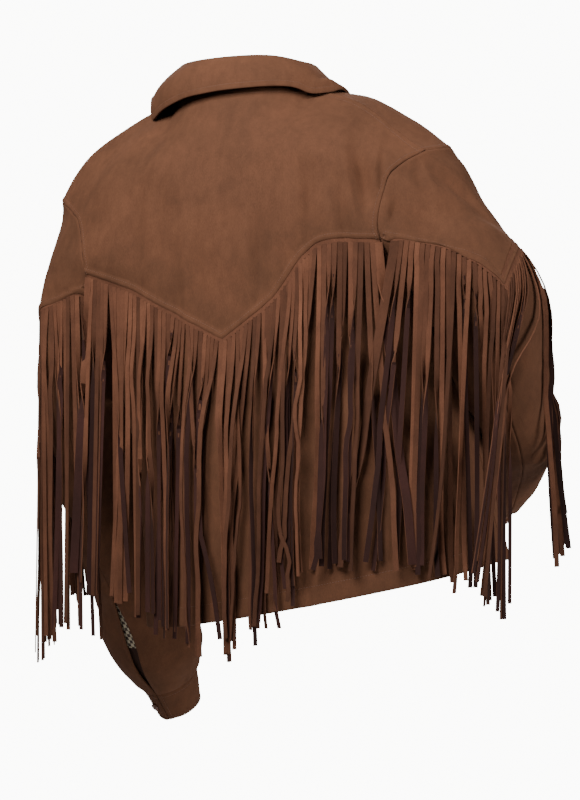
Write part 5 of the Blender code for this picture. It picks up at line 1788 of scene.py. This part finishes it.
@dataclass
class SleevePieces:
    """A sleeve's yoke cap, outer and under panels, and its cuff."""

    cloth: Cloth
    sleeve: Sleeve
    start: float = 0.15 * MM
    inset: float = 0.28  # degrees that a piece's first and last columns stay inside its seams
    cuff_start: float = 0.7 * MM
    cuff_height: float = 44 * MM
    cuff_bottom: float = 0.78
    cuff_gap: float = 1.8  # degrees of the opening between the cuff's ends

    def rows(self) -> tuple[Points, Points, dict[str, Points]]:
        """Columns of the upper and under pieces, and the rows of each piece."""
        s = self.sleeve
        share = spread(84, 0.33, 4 * MM, 4 * MM)
        upper = with_tip(s.back_seam + (s.front_seam - s.back_seam) * share, s.point)
        share = spread(44, 0.2, 4 * MM, 4 * MM)
        under = s.front_seam - 360 + (s.back_seam - s.front_seam + 360) * share
        for columns in (upper, under):
            columns[[0, -1]] += (self.inset, -self.inset)
        seam, gap, start = s.yoke_v(upper), SEAM_GAP / s.length, self.start / s.length
        share = spread(28, 0.08, start=6 * MM)[::-1, None]
        low = seam + EDGE_LAP / s.length
        cap = start + (low - start)[None] * share
        share = np.linspace(0, 1, 118)[:, None]
        outer = (seam + gap)[None] * (1 - share) + share
        along = np.linspace(seam[-1], seam[0], len(under))
        near = start + (along[None] - start) * np.linspace(0, 1, 8)[:-1, None]
        rest = along[None] * (1 - share) + share
        lower = np.concatenate([near, rest])
        return upper, under, {"cap": cap[::-1], "outer": outer, "under": lower}

    def build(self) -> list[tuple[Points, bool]]:
        """Builds the sleeve's four pieces."""
        s = self.sleeve
        upper, under, rows = self.rows()
        sheets = []
        for piece, degrees in (("cap", upper), ("outer", upper), ("under", under)):
            v = rows[piece]
            sheet, like = s.points(degrees, v), s.normals(degrees, v)
            if s.side is Side.LEFT and piece != "cap":
                sheet = open_slit(sheet, v, Edge.LEFT if piece == "outer" else Edge.RIGHT)
            ridges, ride = (SIDE_LEFT, SIDE_RIGHT), 0.0
            if piece == "cap":
                ridges, ride = (CAP_EDGE, CAP_HEAD), edge_ride(sheet, Edge.TOP)
            face = self.cloth.add(f"sleeve_{piece}_{s.side.word}", sheet, like, ridges, under=ride)
            sheets.append((face, s.side is Side.RIGHT))
        self.cuff()
        LOG.info("sleeve and cuff, %s", s.side.word)
        return sheets

    def cuff(self) -> None:
        """Builds the cuff band, open at the back seam, stitched along both edges."""
        s = self.sleeve
        around = (360 - self.cuff_gap) * spread(100, 0.25, 5 * MM, 5 * MM)
        degrees = s.back_seam + self.cuff_gap / 2 + around
        end = s.plain(degrees, np.ones((1, len(degrees))))[0]
        centre, axis = s.centres[-1], s.end_axis()
        shares = spread(14, self.cuff_height, 5 * MM, 5 * MM)
        rows = []
        for share in shares:
            size = 0.99 - (1 - self.cuff_bottom) * share
            reach = self.cuff_start + self.cuff_height * share
            rows.append(centre + (end - centre) * size + axis * reach)
        outer = np.stack(rows)
        like = unit(outer - (centre + axis * self.cuff_height / 2))
        wave = Ripple(34 * MM, 0.35 * MM, 31).at(outer)[..., None]
        calm = smooth_step(run_from(outer, Edge.BOTTOM), 0, 8 * MM)[..., None]
        ridges = [SeamRidge(edge, width=5.4 * MM, rise=0.35 * MM) for edge in Edge]
        outer = outer + like * wave * calm
        self.cloth.add(f"cuff_{s.side.word}", outer, like, ridges, thick=1.4 * CLOTH)


@dataclass
class Collar:
    """The stand round the neck and the leaf that rolls over it and falls onto the shoulders."""

    cloth: Cloth
    end: float = 171
    coarse: int = 26
    height_back: float = 34 * MM
    height_front: float = 22 * MM
    stand_in: float = 3.6 * MM  # how far the stand lies inside the neck seam
    stand_under: float = 3 * MM  # how far it reaches below it
    dip: tuple[float, float, float] = (7 * MM, -72, 26)  # a dip in its height, its place, its reach
    # At degrees round the neck: the fall's width and its bulge in metres, and its lean in degrees.
    widths: tuple[tuple[float, ...], tuple[float, ...]] = (
        (-171, -90, -82, -70, -58, -45, -33, -21, 3, 15, 27, 52, 64, 90, 171),
        (0.084, 0.070, 0.063, 0.045, 0.037, 0.037, 0.0375, 0.039)
        + (0.0415, 0.044, 0.047, 0.061, 0.070, 0.077, 0.084),
    )
    bulges: tuple[tuple[float, ...], tuple[float, ...]] = (
        (-171, -110, -80, -40, 15, 45, 75, 105, 171),
        (0.003, 0.007, 0.009, 0.002, 0.003, 0.011, 0.016, 0.010, 0.003),
    )
    spreads: tuple[tuple[float, ...], tuple[float, ...]] = (
        (-171, -90, -60, -30, 10, 40, 64, 90, 171),
        (36, 34, 24, 19, 19, 25, 28, 31, 36),
    )
    # The roll over the stand: outwards and upwards from its top, in millimetres.
    roll: tuple[tuple[float, float], ...] = (
        (-2.7, -3.0), (-2.6, 0.0), (-2.3, 1.8), (-1.3, 3.5), (0.2, 4.4), (1.7, 4.3), (2.8, 3.7)
    )
    thick: float = 2.7 * MM
    clear: float = 2.6 * MM
    fall_off: float = 3.4 * MM  # how far off the stand the fall starts
    fall_top: float = 3.0 * MM  # how far above the stand's top
    stitch_in: float = 6.6 * MM

    def outward(self, line: Points) -> Points:
        """Level ways out of the neck at points round it."""
        return unit((line - np.array([NECK.x * MM, 0, 0])) * LEVEL)

    def stand(self) -> Points:
        """Builds the stand and gives its outer points."""
        degrees = np.linspace(-self.end, self.end, 151)
        far = np.abs(degrees)
        fall = self.height_front - self.height_back
        height = self.height_back + fall * smooth_step(far, 60, 175)
        dip, place, reach = self.dip
        height = height - dip * np.exp(-(((degrees - place) / reach) ** 2))
        inset = self.stand_in * (1 + smooth_step(far, 115, 150))
        base = NECK.line(degrees, out=-inset) - self.stand_under * UP
        outward = self.outward(base)
        rows = []
        for share in np.linspace(0, 1, 16):
            up = UP * ((height + self.stand_under) * share)[:, None]
            rows.append(base + up - outward * (0.02 * height * share)[:, None])
        outer = np.stack(rows)
        self.cloth.add("collar_stand", outer, np.broadcast_to(outward, outer.shape), lined=False)
        return outer

    def short_of(self, body: BVHTree, spot: Points) -> float:
        """How far a point must rise to stand clear over the cloth under it."""
        hit = body.ray_cast(Vector((spot[0], spot[1], 0.15)), Vector((0, 0, -1)))
        return 0.0 if hit[0] is None else max(0.0, hit[0].z + self.clear - spot[2])

    def fallen(self, top: Points, outward: Points, degrees: Points, body: BVHTree) -> Points:
        """The leaf's under side, laid over the shoulders."""
        width, bulge = np.interp(degrees, *self.widths), np.interp(degrees, *self.bulges)
        lean = np.radians(np.interp(degrees, *self.spreads))
        rows = []
        for share in np.linspace(0, 1, 5):
            bow = math.sin(math.pi * share)
            out = self.fall_off + width * np.sin(lean) * share**1.15 + bulge * bow
            down = width * np.cos(lean) * share - 2.2 * MM * bow
            rows.append(top + outward * out[:, None] - UP * (down - self.fall_top)[:, None])
        under = np.stack(rows)
        for _ in range(3):
            short = np.zeros(under.shape[:2])
            for r, c in np.ndindex(short.shape):
                short[r, c] = self.short_of(body, under[r, c]) if r else 0.0
            middles = (under[:-1, :-1] + under[1:, :-1] + under[:-1, 1:] + under[1:, 1:]) / 4
            for r, c in np.ndindex(middles.shape[:2]):
                rise = self.short_of(body, middles[r, c])
                for i, k in ((r, c), (r + 1, c), (r, c + 1), (r + 1, c + 1)):
                    short[i, k] = max(short[i, k], rise * (i > 0))
            under[..., 2] += short
        return under

    def leaf(self, stand: Points, body: BVHTree) -> None:
        """Builds the leaf: the roll over the stand, then the fall, stitched along its edges."""
        degrees = np.linspace(-self.end, self.end, self.coarse + 1)
        fine = -self.end + 2 * self.end * spread(170, 0.62, self.stitch_in, self.stitch_in)
        grid = np.linspace(-self.end, self.end, stand.shape[1])
        top = smooth_through(grid, stand[-1], degrees)
        coarse = self.fallen(top, self.outward(top), degrees, body)
        wide = np.stack([smooth_through(degrees, row, fine) for row in coarse])
        shares = spread(26, 0.066, end=self.stitch_in)
        fall = smooth_through(np.linspace(0, 1, 5), wide, shares)
        top = smooth_through(grid, stand[-1], fine)
        outward = self.outward(top)
        over = [top + outward * o * MM + UP * (z * MM) for o, z in self.roll]
        under = np.concatenate([np.stack(over), fall])
        like = unit(outward[None] + np.array([0, 0, 0.8]))
        like = np.broadcast_to(like, under.shape).copy()
        for k, (o, z) in enumerate(self.roll):
            turn = math.atan2(z - 0.5, o - 0.4)
            like[k] = outward * math.cos(turn) + UP * math.sin(turn)
        ways = sheet_ways(under, like)
        falling = smooth_step(np.arange(len(under)) / len(under), 0.4, 1.0)[:, None]
        rise = 0.5 * MM * np.sin(np.radians(fine) * 5.0 + 0.6)[None] * falling
        outer = under + ways * (self.thick + rise)[..., None]
        ridges = [
            SeamRidge(edge, width=self.stitch_in, rise=0.45 * MM)
            for edge in (Edge.TOP, Edge.LEFT, Edge.RIGHT)
        ]
        self.cloth.add("collar_leaf", outer, ways, ridges, thick=self.thick, lined=False)


# A button's turned outline: shares of its radius and of its height, from its face's middle round
# the rim to its back.
BUTTON_PROFILE = (
    (0.0, 0.70), (0.10, 0.70), (0.52, 0.70), (0.62, 0.72), (0.70, 0.86), (0.78, 0.98), (0.86, 1.0),
    (0.93, 0.93), (0.98, 0.74), (1.0, 0.45), (0.98, 0.22), (0.92, 0.04), (0.86, 0.0), (0.0, 0.0),
)  # fmt: skip


@dataclass(frozen=True)
class Button:
    """A turned four-hole button with a raised rim, sewn on with crossed thread."""

    node: str
    radius: float
    height: float
    holes: float = 0.22

    def make(self, way: Points, horn: bpy.types.Material) -> bpy.types.Object:
        """Builds the button in its node's place, facing way."""
        low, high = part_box(self.node)
        middle = np.array((low + high) / 2)
        r, h = self.radius, self.height
        work = bmesh.new()
        steps, rings = 48, []
        for share, level in BUTTON_PROFILE:
            ring = []
            for k in range(steps if share else 1):
                turn = 2 * math.pi * k / steps
                spot = (share * r * math.cos(turn), share * r * math.sin(turn), (level - 0.5) * h)
                ring.append(work.verts.new(spot))
            rings.append(ring)
        for one, two in zip(rings, rings[1:]):
            for k in range(steps):
                n = (k + 1) % steps
                corners = [one[k % len(one)], one[n % len(one)]]
                corners += [two[n % len(two)], two[k % len(two)]]
                work.faces.new(list(dict.fromkeys(corners)))
        bmesh.ops.recalc_face_normals(work, faces=work.faces)
        side = unit(np.cross(UP, way))
        up = np.cross(way, side)
        for vert in work.verts:
            x, y, z = vert.co
            vert.co = Vector(middle + side * x + up * y + way * z)
        mesh = bpy.data.meshes.new(f"{self.node}_turned")
        work.to_mesh(mesh)
        work.free()
        mesh.materials.append(horn)
        mesh.shade_smooth()
        mesh.set_sharp_from_angle(angle=math.radians(50))
        made = link_object(f"{self.node}_turned", mesh)
        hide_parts(self.node)
        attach(made, "root")
        return made

    def thread(self, way: Points) -> list[tuple[Points, Points]]:
        """Runs of the crossed sewing thread over the button's face."""
        low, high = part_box(self.node)
        face = np.array((low + high) / 2) + way * self.height * 0.24
        side = unit(np.cross(UP, way))
        up = np.cross(way, side)
        d = self.radius * self.holes
        runs = []
        for one, two in (((-d, -d), (d, d)), ((-d, d), (d, -d))):
            ends = [face + side * x + up * y for x, y in (one, two)]
            spots = np.linspace(ends[0], ends[1], 5)
            spots[1:-1] += way * 0.25 * MM
            runs.append((spots, np.broadcast_to(way, spots.shape).copy()))
        return runs


@dataclass
class Closing:
    """The band down the right front with its buttons, and the cuffs' buttons."""

    cloth: Cloth
    torso: Torso
    horn: bpy.types.Material
    buttons: int = 6
    band_lift: float = 1.4 * MM  # the band's lift off the front
    over_seam: float = 1.6 * MM  # its extra lift where it crosses the yoke seam
    front_size: tuple[float, float] = (8.5 * MM, 3.4 * MM)  # radius and height
    cuff_size: tuple[float, float] = (5.5 * MM, 2.8 * MM)

    def band(self) -> None:
        """Builds the placket with two lines of stitches."""
        a = np.linspace(BAND_LAP - 0.0012, -BAND_INNER, 21)
        rows = TorsoRows(self.torso, np.array([0.0, 0.01]))
        low, high = rows.low[0, 0] + 0.002, rows.yoke[-1, 0] - 0.012
        t = np.linspace(low, high, 150)[:, None] * np.ones(len(a))[None]
        lift = 1.0 * MM + 2.4 * MM * smooth_step(t, high - 0.06, high)
        lift = lift + self.over_seam * np.exp(-(((t - rows.seam[0]) / 0.022) ** 2))
        outer = self.torso.points(a, t, lift + self.band_lift)
        like = self.torso.normals(a, t)
        sides = (Edge.LEFT, Edge.RIGHT)
        ridges = [SeamRidge(edge, width=5.6 * MM, rise=0.3 * MM) for edge in sides]
        self.cloth.add("front_placket", outer, like, ridges, thick=1.5 * MM)

    def sew_on(self) -> list[tuple[Points, Points]]:
        """Builds the front buttons.

        Returns:
            The runs of their thread.
        """
        runs = []
        for k, t in enumerate(np.linspace(0.06, 0.955, self.buttons)):
            way = self.torso.normals(np.array([0.001]), np.array([[t]]))[0, 0]
            button = Button(f"front_button_{k + 1}", *self.front_size)
            button.make(way, self.horn)
            runs += button.thread(way)
        return runs

    def cuff_buttons(self, sleeves: Sequence[Sleeve]) -> list[tuple[Points, Points]]:
        """Builds the cuffs' buttons, each facing straight off its cuff.

        Args:
            sleeves: the two sleeves.

        Returns:
            The runs of their thread.
        """
        runs = []
        for sleeve in sleeves:
            node = f"cuff_button_{sleeve.side.word}"
            low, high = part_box(node)
            middle = np.array((low + high) / 2)
            sheet = self.cloth.sheets[f"cuff_{sleeve.side.word}"]
            r, c = np.unravel_index(np.argmin(((sheet - middle) ** 2).sum(-1)), sheet.shape[:2])
            spots = sheet[max(r - 3, 0) : r + 4, max(c - 3, 0) : c + 4]
            way = unit(np.cross(spots[-1, 0] - spots[0, 0], spots[0, -1] - spots[0, 0]))
            centre = sleeve.centres[-1] + sleeve.end_axis() * 22 * MM
            way = way if np.dot(way, middle - centre) > 0 else -way
            button = Button(node, *self.cuff_size)
            button.make(way, self.horn)
            runs += button.thread(way)
        return runs


FACING_END = 0.872  # where the checks end and the plain cloth below them starts


def build_facing(sleeve: Sleeve, checked: bpy.types.Material, back: bpy.types.Material) -> None:
    """Builds the checked facing that shows in the left cuff's slit."""
    degrees = sleeve.back_seam + np.linspace(-14, 14, 29)
    upper = np.linspace(SLIT_PLACES[0] - 0.01, FACING_END, 44)
    rows = np.concatenate([upper, np.linspace(FACING_END, 0.992, 20)[1:]])
    v = rows[:, None] * np.ones(len(degrees))[None]
    under, thick = 4.2 * MM, 1.2 * MM  # how far the facing lies under the cloth, and its wall
    outer = sleeve.points(degrees, v, -CLOTH - under, fine=False)
    inner = sleeve.points(degrees, v, -CLOTH - (under + thick), fine=False)
    made = Wall("slit_facing_checked", outer, inner).make(checked, checked)
    made.data.materials[1] = back
    end = np.full((1, len(degrees)), FACING_END)
    low = sleeve.points(degrees, end, 0.0, fine=False)[0].mean(0)
    axis = sleeve.end_axis()
    for face in made.data.polygons:
        face.material_index = int(np.dot(np.array(face.center) - low, axis) > 0)
    grid = np.stack([run_from(outer, Edge.LEFT), run_from(outer, Edge.BOTTOM)], -1).reshape(-1, 2)
    grid = np.concatenate([grid, grid])
    layer = made.data.uv_layers.new(name="cut")
    corner = np.empty(len(made.data.loops), dtype=np.int32)
    made.data.loops.foreach_get("vertex_index", corner)
    layer.data.foreach_set("uv", grid[corner].ravel())
    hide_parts("slit_facing_left")
    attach(made, "root")


# ---------------------------------------------------------------- stage, lights and camera


@dataclass
class Studio:
    """A pale room with broad soft lights, the strongest behind the jacket's left, and the view of
    its back."""

    target: tuple[float, float, float] = (-0.0276, -0.0129, -0.372)
    distance: float = 3.2
    azimuth: float = 205.0
    lens: float = 118.1
    floor: float = -1.6

    def place(self, azimuth: float, elevation: float, distance: float) -> Vector:
        """A place seen from the target at these angles."""
        a, e = math.radians(azimuth), math.radians(elevation)
        way = Vector((math.sin(a) * math.cos(e), -math.cos(a) * math.cos(e), math.sin(e)))
        return Vector(self.target) + way * distance

    def aim(self, made: bpy.types.Object, azimuth: float, elevation: float, distance: float) -> None:
        """Sets an object at these angles, facing the target."""
        made.location = self.place(azimuth, elevation, distance)
        way = Vector(self.target) - made.location
        made.rotation_euler = way.to_track_quat("-Z", "Y").to_euler()

    def light(
        self, name: str, azimuth: float, elevation: float, size: float, power: float, distance: float
    ) -> None:
        """Adds one broad square light that faces the target."""
        lamp = bpy.data.lights.new(name, "AREA")
        lamp.shape, lamp.size, lamp.energy = "SQUARE", size, power
        self.aim(link_object(name, lamp), azimuth, elevation, distance)

    def world(self) -> None:
        """Sets a pale surround, brightest round the horizon."""
        world = bpy.data.worlds.new("studio")
        world.use_nodes = True
        tree = world.node_tree
        way = add_node(tree, "ShaderNodeTexCoord").outputs["Generated"]
        height = add_node(tree, "ShaderNodeSeparateXYZ", {0: way}).outputs[2]
        whole = {"Value": height, "From Min": -1.0, "From Max": 1.0}
        ramp = add_node(tree, "ShaderNodeMapRange", whole)
        glow = add_node(tree, "ShaderNodeValToRGB", {0: ramp.outputs[0]})
        glow.color_ramp.elements[0].color = (0.02, 0.019, 0.018, 1)
        glow.color_ramp.elements[1].color = (0.26, 0.26, 0.27, 1)
        for at, level in ((0.42, 0.03), (0.58, 0.16)):
            glow.color_ramp.elements.new(at).color = (level, level * 0.99, level * 0.98, 1)
        sight = add_node(tree, "ShaderNodeLightPath").outputs["Is Camera Ray"]
        both = {0: sight, 6: glow.outputs[0], 7: (11.0, 11.0, 10.7, 1)}
        shown = add_node(tree, "ShaderNodeMix", both, data_type="RGBA")
        feed(tree.nodes["Background"], {0: shown.outputs[2]})
        bpy.context.scene.world = world

    def build(self) -> None:
        """Builds the floor, the lights and the camera."""
        self.world()
        work = bmesh.new()
        bmesh.ops.create_circle(work, cap_ends=True, segments=96, radius=2.5)
        mesh = bpy.data.meshes.new("floor")
        work.to_mesh(mesh)
        work.free()
        paint = FinishTree("floor_paint")
        paint.finish({"Base Color": (0.62, 0.62, 0.61, 1), "Roughness": 0.8})
        mesh.materials.append(paint.made)
        ground = link_object("floor", mesh)
        ground.location = (self.target[0], self.target[1], self.floor)
        self.light("key", 174, 41, 0.8, 48, 1.5)
        self.light("fill", 268, 8, 1.2, 62, 2.6)
        self.light("front", 28, 24, 1.8, 80, 2.6)
        lens = bpy.data.cameras.new("camera")
        lens.lens, lens.sensor_width = self.lens, 36
        eye = link_object("camera", lens)
        self.aim(eye, self.azimuth, 0, self.distance)
        bpy.context.scene.camera = eye


def surface_tree(sheets: Sequence[tuple[Points, bool]]) -> BVHTree:
    """One search tree over sheets, which are given as points and whether they need a flip to face
    outwards."""
    points, faces = [], []
    for sheet, flipped in sheets:
        rows, cols = sheet.shape[:2]
        base = len(points)
        points += [Vector(p) for p in sheet.reshape(-1, 3)]
        for r in range(rows - 1):
            for c in range(cols - 1):
                a = base + r * cols + c
                quad = (a, a + 1, a + cols + 1, a + cols)
                faces.append(quad[::-1] if flipped else quad)
    return BVHTree.FromPolygons(points, faces)


def hang_fringes(
    sleeves: Sequence[Sleeve], tree: BVHTree, face: bpy.types.Material, back: bpy.types.Material
) -> None:
    """Builds the five fringes, hung against the cloth.

    Args:
        sleeves: the right sleeve and the left one.
        tree: the cloth that they rest on.
        face: finish of the strands' faces.
        back: finish of their backs.
    """
    right, left = (sleeve_seam(sleeve) for sleeve in sleeves)
    rows = (
        ("back", torso_seam(BACK, -0.992, 0.992), BACK_SWAY, {}),
        ("front_right", torso_seam(FRONT, -0.97, -0.085), NO_SWAY, {}),
        ("front_left", torso_seam(FRONT, 0.085, 0.97), NO_SWAY, {}),
        ("sleeve_right", right, RIGHT_SWAY, {"stand": 0.45, "sideways": 180.0}),
        ("sleeve_left", left, LEFT_SWAY, {"length": 0.404, "stand": 0.7}),
    )
    fringes = [
        Fringe(f"fringe_{place}_cut", f"fringe_{place}", seam, sway, seed, **own)
        for seed, (place, seam, sway, own) in enumerate(rows, 1)
    ]
    for fringe, chains in zip(fringes, HangingStrands(fringes, tree).settle()):
        made = FringeMesh(fringe).make(chains, face, back)
        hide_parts(fringe.node)
        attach(made, "root")
        LOG.info("%s: %d strands", fringe.name, len(fringe.starts))


def main() -> None:
    """Builds the jacket and its stage."""
    logging.basicConfig(level=logging.INFO, format="%(name)s: %(message)s")
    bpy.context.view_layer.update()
    face = Suede("suede_face", "583827", "422a1c", sheen=0.2).make()
    back = Knit("suede_reverse", "33201a", "22130f").make()
    # The fringe's finishes read each point's tone, which carries the strands' painted shade.
    strand = Suede(
        "suede_fringe", "5f3c2b", "472b1e", sheen=0.15, tone_attribute="tone", patch=40 * MM
    ).make()
    strand_back = Suede(
        "fringe_reverse", "351e1a", "291713", sheen=0.08, sheen_tint="b98a68", tone_attribute="tone"
    ).make()
    thread = Thread("brown_thread", "5d3a28").make()
    horn = Horn("button_horn", "6a3e28", "35190f").make()
    checked = Checked("checked_weave", "a3967f", "33251e").make()
    stitches = StitchLines("topstitching")
    cloth = Cloth(face, back, stitches)
    sheets = Body(cloth, BACK, FRONT).build()
    sleeves = [
        Sleeve(Side.RIGHT, RIGHT_ARM, RIGHT_CREASES, RIGHT_YOKE, BACK, FRONT),
        Sleeve(Side.LEFT, LEFT_ARM, LEFT_CREASES, LEFT_YOKE, BACK, FRONT),
    ]
    arms = []
    for sleeve in sleeves:
        arms += SleevePieces(cloth, sleeve).build()
    build_facing(sleeves[1], checked, back)
    collar = Collar(cloth)
    collar.leaf(collar.stand(), surface_tree(sheets))
    LOG.info("collar")
    closing = Closing(cloth, FRONT, horn)
    closing.band()
    runs = closing.sew_on() + closing.cuff_buttons(sleeves)
    sewn = StitchLines("button_thread", runs, pitch=0.8 * MM, length=1.0 * MM, thick=0.7 * MM)
    LOG.info("placket and buttons")
    tree = surface_tree(sheets + arms + [(cloth.sheets["front_placket"], True)])
    hang_fringes(sleeves, tree, strand, strand_back)
    for lines in (stitches, sewn):
        made = lines.make(thread)
        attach(made, "root")
        LOG.info("%s: %d faces", lines.name, len(made.data.polygons))
    Studio().build()


if __name__ == "__main__":
    main()
